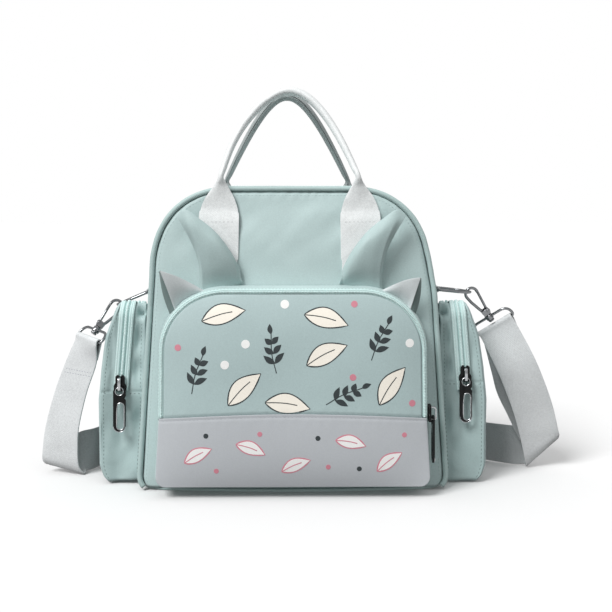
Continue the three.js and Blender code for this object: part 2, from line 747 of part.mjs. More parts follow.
function sidePocket(sign) {
  const rim = (inset) => sideLoop(inset).map(({ y, z }) => V(sign * flank(z), y, z));
  const ring = (inset, out) => sideLoop(inset).map(({ y, z }) => V(sign * sideOut(y, z, out), y, z));
  const outer = [rim(0), ...SIDE_RINGS.map((row) => ring(row.inset, row.out))];
  const inner = [rim(CLOTH), ...SIDE_RINGS.map((row) => ring(row.inset + CLOTH, row.out - CLOTH))];
  const middleZ = (SIDE_POCKET.low + SIDE_POCKET.top) / 2;
  const out = SIDE_RINGS[SIDE_RINGS.length - 1].out - 0.5;
  const middle = (shift) => V(sign * sideOut(0, middleZ, out + shift), 0, middleZ);
  return cup(outer, middle(0), inner, middle(-CLOTH));
}

// Zip tape with its coil, from the front of the pocket over the top and down the back.
function sideZip(sign) {
  const base = sideLoop(-GAP);
  const first = base.findIndex(({ z }) => Math.abs(z - SIDE_POCKET.zipLow) < 0.01);
  const last = base.length - 1 - [...base].reverse().findIndex(({ z }) => Math.abs(z - SIDE_POCKET.zipLow) < 0.01);
  const layers = [0, SIDE_ZIP.tape, SIDE_ZIP.coil].map((lift) => sideLoop(-GAP - lift));
  const { half, coilHalf, topX, lowX } = SIDE_ZIP;
  const profile = [
    { across: 0, layer: 0 },
    { across: -half, layer: 0 },
    { across: -half, layer: 1 },
    { across: -coilHalf, layer: 1 },
    { across: -coilHalf, layer: 2 },
    { across: coilHalf, layer: 2 },
    { across: coilHalf, layer: 1 },
    { across: half, layer: 1 },
    { across: half, layer: 0 },
  ];
  const rings = [];
  for (let i = first; i <= last; i++) {
    const t = (base[i].z - SIDE_POCKET.zipLow) / (SIDE_POCKET.top - SIDE_POCKET.zipLow);
    const centre = mix(lowX, topX, t);
    rings.push(
      profile.map(({ across, layer }) => V(sign * (centre + across), layers[layer][i].y, layers[layer][i].z)),
    );
  }
  return sweep(rings);
}

// Zip sliders and pulls.
function slider(frame) {
  const body = new THREE.Shape();
  body.moveTo(-SLIDER.footHalf, SLIDER.plateLow);
  body.lineTo(SLIDER.footHalf, SLIDER.plateLow);
  body.lineTo(SLIDER.footHalf, SLIDER.plateLow + 6);
  body.lineTo(SLIDER.neckHalf, SLIDER.plateLow + 9);
  body.lineTo(SLIDER.neckHalf, SLIDER.plateTop);
  body.lineTo(-SLIDER.neckHalf, SLIDER.plateTop);
  body.lineTo(-SLIDER.neckHalf, SLIDER.plateLow + 9);
  body.lineTo(-SLIDER.footHalf, SLIDER.plateLow + 6);
  const back = SLIDER.plateBack + 1;
  const bail = new THREE.Shape();
  bail.moveTo(SLIDER.bailLow, back);
  bail.lineTo(SLIDER.bailLow, SLIDER.bailOut - 1);
  bail.lineTo(SLIDER.bailLow + 1, SLIDER.bailOut);
  bail.lineTo(SLIDER.bailTop - 2, SLIDER.bailOut);
  bail.lineTo(SLIDER.bailTop, SLIDER.bailOut - 2);
  bail.lineTo(SLIDER.bailTop, back);
  const eye = new THREE.Path();
  eye.moveTo(SLIDER.bailLow + SLIDER.bailWall, SLIDER.plateFront);
  eye.lineTo(SLIDER.bailTop - SLIDER.bailWall, SLIDER.plateFront);
  eye.lineTo(SLIDER.bailTop - SLIDER.bailWall, SLIDER.bailOut - SLIDER.bailWall - 1.2);
  eye.lineTo(SLIDER.bailTop - SLIDER.bailWall - 1.2, SLIDER.bailOut - SLIDER.bailWall);
  eye.lineTo(SLIDER.bailLow + SLIDER.bailWall, SLIDER.bailOut - SLIDER.bailWall);
  bail.holes.push(eye);
  const onEdge = new THREE.Matrix4().makeBasis(V(0, 1, 0), V(0, 0, 1), V(1, 0, 0));
  const parts = [
    plate(body, SLIDER.plateFront - SLIDER.plateBack, SLIDER.plateBack, frame),
    plate(bail, 2 * SLIDER.bailHalf, -SLIDER.bailHalf, frame.clone().multiply(onEdge)),
  ];
  return fuse(parts);
}

function pull(frame) {
  const { half, top, low } = PULL;
  const shape = new THREE.Shape();
  shape.absarc(0, top - half, half, 0, Math.PI, false);
  shape.absarc(0, low + half, half, Math.PI, 2 * Math.PI, false);
  const ring = new THREE.Path();
  ring.absarc(0, PULL.ringZ, PULL.ringRadius, 0, 2 * Math.PI, true);
  const slot = new THREE.Path();
  slot.absarc(PULL.slotShift, PULL.slotTop - PULL.slotHalf, PULL.slotHalf, Math.PI, 0, true);
  slot.absarc(PULL.slotShift, PULL.slotLow + PULL.slotHalf, PULL.slotHalf, 0, -Math.PI, true);
  shape.holes.push(ring, slot);
  return plate(shape, PULL.thick, -PULL.thick / 2, frame, 8);
}

const sideZipFace = -SIDE_POCKET.halfY - GAP - SIDE_ZIP.coil;

function sidePullFrame(sign) {
  const z = sign < 0 ? SIDE_PULL_Z.left : SIDE_PULL_Z.right;
  const y = sideZipFace - GAP + SLIDER.plateBack;
  return frameOf(V(sign * SIDE_ZIP.lowX, y, z), V(1, 0, 0), V(0, 0, 1), V(0, -1, 0));
}

const frontPullFrame = frameOf(V(FRONT_PULL.x, FRONT_PULL.y, FRONT_PULL.z), V(0, 1, 0), V(0, 0, 1), V(1, 0, 0));

// Clip hardware on one side: all directions worked out from the row of that side.
function clipFrame(side) {
  const { sign, droop } = side;
  const drop = THREE.MathUtils.degToRad(droop);
  const barCentre = V(sign * RING.barX, 0, side.ringZ);
  const ringOut = V(sign * Math.cos(drop), 0, -Math.sin(drop));
  const ringEnd = barCentre.clone().addScaledVector(ringOut, RING.deep);
  const down = V(sign * side.hookX, side.hookY, side.hookZ).normalize();
  const out = V(-sign * down.z, 0, sign * down.x).normalize();
  const normal = new THREE.Vector3().crossVectors(out, down).multiplyScalar(sign);
  const steep = Math.hypot(down.x, down.z);
  const apex = ringEnd.clone().addScaledVector(down, -(RING.wire + HOOK.wire + 2 * GAP) / steep);
  const strapAcross = V(sign * side.barX, side.barY, side.barZ);
  strapAcross.addScaledVector(down, -strapAcross.dot(down)).normalize();
  const point = (o, d, n = 0) =>
    apex.clone().addScaledVector(out, o).addScaledVector(down, d).addScaledVector(normal, n);
  return { sign, barCentre, ringOut, down, out, normal, apex, strapAcross, point };
}

function dRing(clip) {
  const run = [];
  const put = (deep, y) => run.push(clip.barCentre.clone().addScaledVector(clip.ringOut, deep).add(V(0, y, 0)));
  put(0, -RING.half + 3);
  put(0, RING.half - 3);
  put(1, RING.half - 0.8);
  put(3, RING.half);
  put(RING.straight, RING.half);
  const bend = RING.deep - RING.straight;
  for (let i = 1; i < 10; i++) {
    const turn = (i / 10) * Math.PI;
    put(RING.straight + bend * Math.sin(turn), RING.half * Math.cos(turn));
  }
  put(RING.straight, -RING.half);
  put(3, -RING.half);
  put(1, -RING.half + 0.8);
  const flat = new THREE.Vector3().crossVectors(clip.ringOut, V(0, 1, 0));
  return wire(run, RING.wire, 6, flat, true);
}

// Webbing tab: a loop round the ring's bar with a tail lying up the bag's flank.
function ringTab(clip) {
  const { x, z } = clip.barCentre;
  const outward = Math.abs(x);
  const seat = (height) => bodyHalf(height) - GUSSET_INSET + GAP;
  const shape = new THREE.Shape();
  shape.moveTo(seat(RING_TAB.tailTop), RING_TAB.tailTop);
  shape.lineTo(seat(z - 2), z - 2);
  shape.lineTo(outward - 1.5, z - RING_TAB.radius);
  shape.absarc(outward, z, RING_TAB.radius, -0.62 * Math.PI, 0.55 * Math.PI, false);
  shape.lineTo(seat(z + 7) + RING_TAB.tailThick, z + 7);
  shape.lineTo(seat(RING_TAB.tailTop) + RING_TAB.tailThick, RING_TAB.tailTop);
  const hole = new THREE.Path();
  hole.absarc(outward, z, RING_TAB.hole, 0, 2 * Math.PI, true);
  shape.holes.push(hole);
  const frame = frameOf(V(0, 0, 0), V(clip.sign, 0, 0), V(0, 0, 1), V(0, -clip.sign, 0));
  return plate(shape, RING_TAB.half * 2 - 6, 3 - RING_TAB.half, frame, 5);
}

function roundBar(clip, from, to, radius, sides) {
  const end = (d) => clip.point(0, d);
  return wire([end(from), end(to)], radius, sides, clip.normal);
}

function hook(clip) {
  const run = [clip.point(-1.4, 33), clip.point(-3.4, 26), clip.point(-5.8, 14)];
  for (let i = 0; i <= 10; i++) {
    const turn = Math.PI * (1 - i / 10);
    run.push(clip.point(HOOK.bow * Math.cos(turn), HOOK.bow - HOOK.bow * Math.sin(turn)));
  }
  run.push(clip.point(HOOK.bow - 0.1, HOOK.tipDown));
  const cheek = new THREE.Shape();
  cheek.moveTo(-4, 29.5);
  cheek.lineTo(HOOK.pinOut + 0.6, 29.2);
  cheek.lineTo(HOOK.pinOut + 2.8, HOOK.pinDown);
  cheek.lineTo(3.4, 36);
  cheek.lineTo(-3.4, 36);
  const flat = frameOf(clip.apex, clip.out, clip.down, new THREE.Vector3().crossVectors(clip.out, clip.down));
  const cheekThick = HOOK.cheekOut - HOOK.cheekIn;
  const foot = new THREE.Shape();
  foot.moveTo(-4, 29.5);
  foot.lineTo(-1.2, 29.5);
  foot.lineTo(-0.6, 34.8);
  foot.lineTo(3.4, 34.8);
  foot.lineTo(3.4, 36);
  foot.lineTo(-3.4, 36);
  const pinEnd = (n) => clip.point(HOOK.pinOut, HOOK.pinDown, n);
  return fuse([
    wire(run, HOOK.wire, 6, clip.normal),
    plate(cheek, cheekThick, HOOK.cheekIn, flat),
    plate(cheek, cheekThick, -HOOK.cheekOut, flat),
    plate(foot, 2 * HOOK.cheekIn + 0.4, -HOOK.cheekIn - 0.2, flat),
    wire([pinEnd(-HOOK.cheekIn - 0.6), pinEnd(HOOK.cheekIn + 0.6)], HOOK.pinRadius, 8, clip.down),
    roundBar(clip, 35.4, HOOK.shankLow + 0.5, HOOK.shankRadius, 10),
    roundBar(clip, HOOK.shankLow, HOOK.headLow, HOOK.headRadius, 10),
  ]);
}

function gate(clip) {
  const eye = new THREE.Shape();
  eye.absarc(HOOK.pinOut, HOOK.pinDown, GATE.footRadius, 0, 2 * Math.PI, false);
  const hole = new THREE.Path();
  hole.absarc(HOOK.pinOut, HOOK.pinDown, GATE.hole, 0, 2 * Math.PI, true);
  eye.holes.push(hole);
  const flat = frameOf(clip.apex, clip.out, clip.down, new THREE.Vector3().crossVectors(clip.out, clip.down));
  const top = clip.point(HOOK.bow - 0.15, HOOK.tipDown + 0.4);
  const low = clip.point(HOOK.pinOut + 0.36, HOOK.pinDown - 2.1);
  return fuse([
    plate(eye, 2 * GATE.footHalf, -GATE.footHalf, flat, 6),
    wire([top, low], GATE.wire, 6, clip.normal),
  ]);
}

// Wire loop that holds the webbing, with the collar in which the hook's shank turns.
function strapLoop(clip) {
  const across = clip.strapAcross;
  const { half, down, barDown, topRadius, lowRadius } = LOOP;
  const run = [];
  const put = (a, d) => run.push(clip.point(0, d).addScaledVector(across, a));
  const arc = (a, d, radius, from, to, steps) => {
    for (let i = 0; i <= steps; i++) {
      const turn = mix(from, to, i / steps);
      put(a + radius * Math.cos(turn), d - radius * Math.sin(turn));
    }
  };
  put(LOOP.collarIn + 1, down);
  arc(half - topRadius, down + topRadius, topRadius, 0.5 * Math.PI, 0, 4);
  arc(half - lowRadius, barDown - lowRadius, lowRadius, 0, -0.5 * Math.PI, 3);
  arc(-half + lowRadius, barDown - lowRadius, lowRadius, -0.5 * Math.PI, -Math.PI, 3);
  arc(-half + topRadius, down + topRadius, topRadius, Math.PI, 0.5 * Math.PI, 4);
  put(-LOOP.collarIn - 1, down);
  const through = new THREE.Vector3().crossVectors(clip.down, across);
  const collar = new THREE.Shape();
  collar.absarc(0, 0, LOOP.collarOut, 0, 2 * Math.PI, false);
  const bore = new THREE.Path();
  bore.absarc(0, 0, LOOP.collarIn, 0, 2 * Math.PI, true);
  collar.holes.push(bore);
  const frame = frameOf(clip.point(0, down), across, through.clone().negate(), clip.down.clone().negate());
  return fuse([wire(run, LOOP.wire, 6, through), plate(collar, 2 * LOOP.collarHalf, -LOOP.collarHalf, frame, 6)]);
}

// Shoulder strap: one length of webbing from bar to bar, turned back on itself at both bars.
function shoulderStrap(leftClip, rightClip) {
  const fromTable = (row) => ({
    inner: V(row.innerX, row.innerY, row.innerZ),
    outer: V(row.outerX, row.outerY, row.outerZ),
  });
  const middleOf = ({ inner, outer }) => inner.clone().add(outer).multiplyScalar(0.5);
  const tail = (clip, rows, under) => {
    const bar = clip.point(0, LOOP.barDown);
    const across = clip.strapAcross;
    const hang = middleOf(rows[1]).sub(bar);
    hang.addScaledVector(across, -hang.dot(across)).normalize();
    const front = new THREE.Vector3().crossVectors(hang, across);
    if (front.y > 0) {
      front.negate();
    }
    const place = (forward, low) => {
      const p = bar.clone().addScaledVector(front, forward).addScaledVector(hang, low);
      return {
        inner: p.clone().addScaledVector(across, -WEB_WIDE / 2),
        outer: p.clone().addScaledVector(across, WEB_WIDE / 2),
      };
    };
    const { wrap, closeBy, lie } = STRAP_END;
    const stations = under.map(({ inward, behind }, i) => {
      const shift = V(-clip.sign * inward, behind, 0);
      return { inner: rows[i].inner.clone().add(shift), outer: rows[i].outer.clone().add(shift) };
    });
    stations.reverse();
    stations.push(place(-wrap, closeBy), place(-wrap, closeBy / 2));
    for (let i = 0; i <= STRAP_END.wrapSteps; i++) {
      const turn = Math.PI * (1 - i / STRAP_END.wrapSteps);
      stations.push(place(wrap * Math.cos(turn), -wrap * Math.sin(turn)));
    }
    stations.push(place(2.2, closeBy / 2), place(lie, closeBy));
    return stations;
  };
  const left = STRAP_LEFT.map(fromTable);
  const right = STRAP_RIGHT.map(fromTable);
  const leftTail = tail(leftClip, left, STRAP_UNDER_LEFT);
  const rightTail = tail(rightClip, right, STRAP_UNDER_RIGHT);
  const run = [leftTail[leftTail.length - 1], ...left, ...[rightTail[rightTail.length - 1], ...right].reverse()];
  const innerEdge = new THREE.CatmullRomCurve3(run.map(({ inner }) => inner), false, "centripetal");
  const outerEdge = new THREE.CatmullRomCurve3(run.map(({ outer }) => outer), false, "centripetal");
  const middle = [];
  for (let i = 0; i <= STRAP_STEPS; i++) {
    const t = i / STRAP_STEPS;
    middle.push({ inner: innerEdge.getPoint(t), outer: outerEdge.getPoint(t) });
  }
  const all = [...leftTail.slice(0, -1), ...middle, ...rightTail.slice(0, -1).reverse()];
  const centres = all.map(middleOf);
  const rings = all.map(({ inner, outer }, i) => {
    const across = outer.clone().sub(inner);
    const face = new THREE.Vector3().crossVectors(heading(centres, i, false), across).normalize();
    const corner = (edge, side) => edge.clone().addScaledVector(face, (side * WEB_THICK) / 2);
    return [corner(inner, -1), corner(outer, -1), corner(outer, 1), corner(inner, 1)];
  });
  return sweep(rings);
}

const group = new THREE.Group();
group.name = "diaper_backpack";

function add(name, geometry, colour) {
  const mesh = new THREE.Mesh(geometry, new THREE.MeshStandardMaterial(COLOURS[colour]));
  mesh.name = name;
  group.add(mesh);
}

add("front_panel", frontPanel(), "mint");
add("back_panel", backPanel(), "mint");
add("side_gusset", sideGusset(), "mint");
add("base_panel", basePanel(), "mint");
add("front_piping", frontPiping(), "mint");
add("main_zip", mainZip(), "paleZip");
add("pocket_wall", pocketWall(), "mint");
add("pocket_face_upper", pocketUpper(), "mint");
add("pocket_face_lower", pocketLower(), "greyCloth");
add("pocket_zip", pocketZip(), "paleZip");
add("pocket_slider", slider(frontPullFrame), "black");
add("pocket_pull", pull(frontPullFrame), "black");
add("handle_front", handle(-1), "webbing");
add("handle_back", handle(1), "webbing");

const clips = CLIP_SIDES.map(clipFrame);
CLIP_SIDES.forEach(({ name, sign }, i) => {
  const clip = clips[i];
  add(`ear_${name}`, ear(sign), "mint");
  add(`side_pocket_${name}`, sidePocket(sign), "mint");
  add(`side_zip_${name}`, sideZip(sign), "paleZip");
  add(`side_slider_${name}`, slider(sidePullFrame(sign)), "black");
  add(`side_pull_${name}`, pull(sidePullFrame(sign)), "black");
  add(`ring_tab_${name}`, ringTab(clip), "webbing");
  add(`d_ring_${name}`, dRing(clip), "gunmetal");
  add(`hook_${name}`, hook(clip), "gunmetal");
  add(`hook_gate_${name}`, gate(clip), "gunmetal");
  add(`strap_loop_${name}`, strapLoop(clip), "gunmetal");
});
add("shoulder_strap", shoulderStrap(clips[0], clips[1]), "webbing");

export default group;
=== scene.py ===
import math

import bpy
from mathutils import Matrix, Vector, noise


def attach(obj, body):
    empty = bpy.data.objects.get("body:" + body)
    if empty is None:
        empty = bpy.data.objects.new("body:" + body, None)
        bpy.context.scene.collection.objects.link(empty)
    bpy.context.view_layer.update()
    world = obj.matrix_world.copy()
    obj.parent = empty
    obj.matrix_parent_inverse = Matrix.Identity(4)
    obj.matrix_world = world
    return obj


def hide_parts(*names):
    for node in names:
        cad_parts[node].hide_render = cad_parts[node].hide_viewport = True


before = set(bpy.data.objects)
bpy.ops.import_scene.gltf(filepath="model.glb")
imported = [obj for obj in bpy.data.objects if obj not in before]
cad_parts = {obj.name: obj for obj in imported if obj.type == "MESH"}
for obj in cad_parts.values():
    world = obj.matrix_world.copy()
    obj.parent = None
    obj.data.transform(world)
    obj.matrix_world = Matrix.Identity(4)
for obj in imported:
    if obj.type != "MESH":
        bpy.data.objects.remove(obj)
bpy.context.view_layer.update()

bpy.ops.object.select_all(action="DESELECT")
mm = 0.001  # the sizes below are in millimetres

# Camera, light and floor
camera = dict(place=(0, -1070, 280), turn=0.745, lens=58.82, sensor=36, shift=-0.157)
studio = dict(
    backdrop=1.0,  # how bright the paper behind the bag looks
    sky={"From Min": -0.5, "From Max": 0.8, "To Min": 0.14, "To Max": 0.80},  # brightness by height
    floor=dict(size=40, drop=0.4, tone=(0.80, 0.80, 0.80), rough=0.9),
    sun=dict(comesFrom=(-0.48, -0.55, 0.68), watts=2.75, spread=26),
)


def fill(node, values):
    for key, value in values.items():
        node.inputs[key].default_value = value
    return node


def addObject(name, data):
    obj = bpy.data.objects.new(name, data)
    bpy.context.collection.objects.link(obj)
    return obj


def setCamera():
    data = bpy.data.cameras.new("camera")
    data.lens, data.sensor_width, data.shift_y = camera["lens"], camera["sensor"], camera["shift"]
    obj = addObject("camera", data)
    obj.location = Vector(camera["place"]) * mm
    obj.rotation_euler = (math.radians(90), 0, -math.radians(camera["turn"]))
    bpy.context.scene.camera = obj


def setSky():
    world = bpy.data.worlds.new("studio")
    world.use_nodes = True
    tree = world.node_tree
    sky, output = tree.nodes["Background"], tree.nodes["World Output"]
    coords, parts, height, paperSky, path, chooser = (tree.nodes.new("ShaderNode" + kind) for kind in (
        "TexCoord", "SeparateXYZ", "MapRange", "Background", "LightPath", "MixShader",
    ))
    fill(height, studio["sky"])
    fill(sky, {"Color": (1, 1, 1, 1)})
    fill(paperSky, {"Color": (1, 1, 1, 1), "Strength": studio["backdrop"]})
    for source, target in (
        (coords.outputs["Generated"], parts.inputs[0]), (parts.outputs["Z"], height.inputs["Value"]),
        (height.outputs["Result"], sky.inputs["Strength"]),
        (path.outputs["Is Camera Ray"], chooser.inputs[0]), (sky.outputs[0], chooser.inputs[1]),
        (paperSky.outputs[0], chooser.inputs[2]), (chooser.outputs[0], output.inputs["Surface"]),
    ):
        tree.links.new(source, target)
    bpy.context.scene.world = world
    bpy.context.scene.view_settings.view_transform = "Standard"


def setSun():
    sun = studio["sun"]
    data = bpy.data.lights.new("sun", "SUN")
    data.energy, data.angle = sun["watts"], math.radians(sun["spread"])
    lamp = addObject("sun", data)
    lamp.rotation_euler = (-Vector(sun["comesFrom"])).to_track_quat("-Z", "Y").to_euler()


def setFloor():
    f = studio["floor"]
    bpy.ops.mesh.primitive_plane_add(size=f["size"], location=(0, 0, -f["drop"] * mm))
    floor = bpy.context.object
    floor.name = "floor"
    paper = bpy.data.materials.new("floorPaper")
    paper.use_nodes = True
    fill(paper.node_tree.nodes["Principled BSDF"], {"Base Color": (*f["tone"], 1), "Roughness": f["rough"]})
    floor.data.materials.append(paper)
    floor.visible_diffuse = False
    floor.select_set(False)


setCamera()
setSky()
setSun()
setFloor()
print("camera, light and floor set")


# Small sums used all through
def mix(a, b, t):
    return a + (b - a) * t


def clamp(t, low=0.0, high=1.0):
    return max(low, min(high, t))


def ease(a, b, t):
    t = clamp((t - a) / (b - a))
    return t * t * (3 - 2 * t)


def hump(d, wide):
    return math.exp(-((d / wide) ** 2))


def halfWave(t):
    return math.sin(math.pi * t)


def ripple(x, y, z, size, seed=0.0):
    return noise.noise(Vector((x / size + seed * 3.1, y / size - seed * 5.7, z / size + seed)))


def puff(u, v):
    return max(0, 1 - u ** 4) * max(0, 1 - v ** 4)


def lookUp(table, value):
    for (lowAt, low), (highAt, high) in zip(table, table[1:]):
        if value <= highAt:
            return mix(low, high, clamp((value - lowAt) / (highAt - lowAt)))
    return table[-1][1]


def lengthsAlong(points):
    lengths = [0.0]
    for a, b in zip(points, points[1:]):
        lengths.append(lengths[-1] + (b - a).length)
    return lengths


# Points at even steps along a run, or the values that go with those points
def evenly(points, count, closed=False, values=None):
    run = [Vector(p) for p in points]
    if closed:
        run.append(run[0].copy())
    lengths = lengthsAlong(run)
    values = values or run
    spans = count if closed else count - 1
    out = []
    j = 0
    for i in range(count):
        want = lengths[-1] * i / spans
        while j < len(run) - 2 and lengths[j + 1] < want:
            j += 1
        step = lengths[j + 1] - lengths[j]
        out.append(values[j].lerp(values[j + 1], (want - lengths[j]) / step if step else 0))
    return out


def at(run, t):
    place = clamp(t) * (len(run) - 1)
    i = min(int(place), len(run) - 2)
    return run[i].lerp(run[i + 1], place - i)


# Smooth curve through points, even in speed round tight bends
def curveThrough(points, perSpan):
    pts = [Vector(p) for p in points]
    out = []
    for i in range(len(pts) - 1):
        p1, p2 = pts[i], pts[i + 1]
        p0 = pts[i - 1] if i > 0 else p1 * 2 - p2
        p3 = pts[i + 2] if i + 2 < len(pts) else p2 * 2 - p1
        d1, d2, d3 = (max((b - a).length, 1e-6) ** 0.5 for a, b in ((p0, p1), (p1, p2), (p2, p3)))
        m1 = (p1 - p0) * (d2 / d1) - (p2 - p0) * (d2 / (d1 + d2)) + (p2 - p1)
        m2 = (p2 - p1) - (p3 - p1) * (d2 / (d2 + d3)) + (p3 - p2) * (d2 / d3)
        for k in range(perSpan):
            t = k / perSpan
            a = p1 * (2 * t ** 3 - 3 * t ** 2 + 1) + m1 * (t ** 3 - 2 * t ** 2 + t)
            out.append(a + p2 * (-2 * t ** 3 + 3 * t ** 2) + m2 * (t ** 3 - t ** 2))
    return out + [pts[-1]]


def heading(points, i, closed=False):
    n = len(points)
    if closed:
        return (points[(i + 1) % n] - points[i - 1]).normalized()
    return (points[min(i + 1, n - 1)] - points[max(i - 1, 0)]).normalized()


def mirrored(right):
    return right + [Vector((-p.x, p.y)) for p in reversed(right)]


def outwardOf(run, middle, closed=False):
    ways = []
    for i, p in enumerate(run):
        along = heading(run, i, closed)
        way = Vector((along.y, -along.x))
        ways.append(way if way.dot(p - middle) > 0 else -way)
    return ways


# A closed loop and its outward ways, each with its first entry again at the end
def closedRun(loop, middle):
    ways = outwardOf(loop, middle, True)
    return loop + loop[:1], ways + ways[:1]


# Quarter of an oval, or another stretch of it
def oval(middle, reach, start, end, steps):
    out = []
    for i in range(steps + 1):
        turn = mix(start, end, i / steps)
        out.append(Vector((middle[0] + reach[0] * math.cos(turn), middle[1] + reach[1] * math.sin(turn))))
    return out


# Materials
def linear(rgb):
    parts = []
    for value in rgb:
        v = value / 255
        parts.append(v / 12.92 if v <= 0.04045 else ((v + 0.055) / 1.055) ** 2.4)
    return parts


def shade(rgb, share):
    return tuple(clamp(v * share) for v in linear(rgb)) + (1,)


class Nodes:
    def __init__(self, name):
        self.material = bpy.data.materials.new(name)
        self.material.use_nodes = True
        self.tree = self.material.node_tree
        self.shader = self.tree.nodes["Principled BSDF"]
        self.coords = self.add("TexCoord")

    def add(self, kind, **settings):
        node = self.tree.nodes.new("ShaderNode" + kind)
        for key, value in settings.items():
            setattr(node, key, value)
        return node

    def link(self, source, target):
        self.tree.links.new(source, target)

    def sum(self, operation, *values):
        node = self.add("Math", operation=operation)
        for socket, value in zip(node.inputs, values):
            if isinstance(value, (int, float)):
                socket.default_value = value
            else:
                self.link(value, socket)
        return node.outputs[0]

    def shares(self, a, shareA, b, shareB=1):
        return self.sum("ADD", self.sum("MULTIPLY", a, shareA), self.sum("MULTIPLY", b, shareB))

    def uv(self):
        parts = self.add("SeparateXYZ")
        self.link(self.coords.outputs["UV"], parts.inputs[0])
        return parts.outputs["X"], parts.outputs["Y"]

    def wave(self, value, pitch):
        return self.sum("SINE", self.sum("MULTIPLY", value, 2 * math.pi / (pitch * mm)))

    def noise(self, scale, detail):
        node = fill(self.add("TexNoise"), {"Scale": scale, "Detail": detail})
        self.link(self.coords.outputs["Object"], node.inputs["Vector"])
        return node.outputs["Fac"]

    def spread(self, value, low, high):
        node = self.add("MapRange")
        fill(node, {"From Min": 0.25, "From Max": 0.75, "To Min": low, "To Max": high})
        self.link(value, node.inputs["Value"])
        return node.outputs["Result"]

    def tint(self, value, rgb, low, high):
        node = fill(self.add("Mix", data_type="RGBA"), {"A": shade(rgb, low), "B": shade(rgb, high)})
        self.link(self.spread(value, 0, 1), node.inputs["Factor"])
        self.link(node.outputs["Result"], self.shader.inputs["Base Color"])

    def roughen(self, value, low, high):
        self.link(self.spread(value, low, high), self.shader.inputs["Roughness"])

    def bump(self, height, strength, deep):
        node = fill(self.add("Bump"), {"Strength": strength, "Distance": deep * mm})
        self.link(height, node.inputs["Height"])
        self.link(node.outputs["Normal"], self.shader.inputs["Normal"])


# Plain woven nylon: fine crossing threads on the cut's own UV, soft tone drift on the object
def clothMaterial(name, rgb, rough, sheen, drift=0.05, pitch=0.9):
    n = Nodes(name)
    across, along = n.uv()
    weave = n.sum("MULTIPLY", n.wave(across, pitch), n.wave(along, pitch))
    crumple, patches, grain = n.noise(42, 4), n.noise(9, 3), n.noise(760, 1)
    n.bump(n.shares(weave, 0.12, crumple), 0.22, 1.1)
    n.tint(n.shares(patches, 0.45, grain, 0.55), rgb, 1 - 1.6 * drift, 1 + 1.6 * drift)
    n.roughen(n.noise(60, 2), rough - 0.06, rough + 0.06)
    fill(n.shader, {"Sheen Weight": sheen, "Sheen Roughness": 0.4, "Specular IOR Level": 0.35})
    return n.material


# Herringbone webbing: slanted ribs that turn back every few millimetres across the width
def webbingMaterial(name, rgb, rib=1.7, turnBack=4.4, warp=0.8):
    n = Nodes(name)
    across, along = n.uv()
    ribs = n.wave(n.sum("ADD", along, n.sum("PINGPONG", across, turnBack * mm)), rib)
    fuzz, fleck, patches = n.noise(240, 3), n.noise(620, 2), n.noise(26, 4)
    n.bump(n.sum("ADD", n.shares(ribs, 0.35, n.wave(across, warp), 0.12), fuzz), 0.35, 0.6)
    n.tint(n.shares(ribs, 0.1, n.shares(fleck, 0.7, patches, 0.5)), rgb, 0.80, 1.10)
    n.roughen(fuzz, 0.5, 0.66)
    fill(n.shader, {"Sheen Weight": 0.15, "Sheen Roughness": 0.4})
    return n.material


def threadMaterial(name, rgb):
    n = Nodes(name)
    fuzz = n.noise(900, 2)
    n.tint(fuzz, rgb, 0.86, 1.06)
    n.bump(fuzz, 0.2, 0.2)
    fill(n.shader, {"Roughness": 0.6})
    return n.material


# Metal, lacquer or smooth plastic, lightly worn
def metalMaterial(name, rgb, metallic, rough, coat=0.0, gloss=0.5):
    n = Nodes(name)
    worn = n.noise(170, 4)
    n.tint(worn, rgb, 0.85, 1.12)
    n.roughen(worn, rough - 0.05, rough + 0.08)
    n.bump(n.noise(700, 2), 0.06, 0.2)
    fill(n.shader, {
        "Metallic": metallic, "Specular IOR Level": gloss, "Coat Weight": coat, "Coat Roughness": 0.12,
    })
    return n.material


mint = clothMaterial("mintNylon", (182, 202, 201), 0.52, 0.2)
grey = clothMaterial("greyNylon", (182, 186, 190), 0.6, 0.2, 0.03)
# painted shade: a darker copy of the mint for the side pockets, which lie in shade
paintedShadeSideMint = clothMaterial("paintedShadeSideNylon", (170, 191, 190), 0.52, 0.2)
earLining = clothMaterial("earLining", (202, 208, 209), 0.55, 0.2)
# painted shade: a darker copy of the mint for the ear leaves and flaps, which face down from the light
paintedShadeEarMint = clothMaterial("paintedShadeEarNylon", (173, 193, 192), 0.55, 0.15)
# painted shade: a dark copy of the mint for the ears' turned-back folds, which face away from the light
paintedShadeFoldMint = clothMaterial("paintedShadeFoldMint", (112, 129, 127), 0.6, 0.1)
# painted shade: a darker copy of the mint for the pocket's upper face, which gets less light from above
paintedShadePocketMint = clothMaterial("paintedShadePocketNylon", (169, 188, 188), 0.52, 0.2)
mintEdge = clothMaterial("mintBinding", (172, 193, 191), 0.55, 0.2, pitch=0.7)
tape = clothMaterial("paleZipTape", (196, 220, 218), 0.6, 0.15, 0.03, 0.8)
webbing = webbingMaterial("greyWebbing", (212, 215, 216))
handleWebbing = webbingMaterial("paleWebbing", (226, 229, 229))
# painted shade: a darker copy of the webbing for the back handle, which lies in shade
paintedShadeWebbing = webbingMaterial("paintedShadeWebbing", (160, 166, 166))
# inner faces of the webbing: a darker grey, partly the reverse's own tone and partly painted shade
webbingInsideGreyAndShade = webbingMaterial("greyAndShadedWebbingInside", (168, 172, 173))
# a little darker than the cloth: mint thread with the painted shade of its stitch holes
mintThreadAndHoleShade = threadMaterial("mintThreadAndHoleShade", (166, 188, 186))
webThread = threadMaterial("webbingThread", (196, 199, 199))
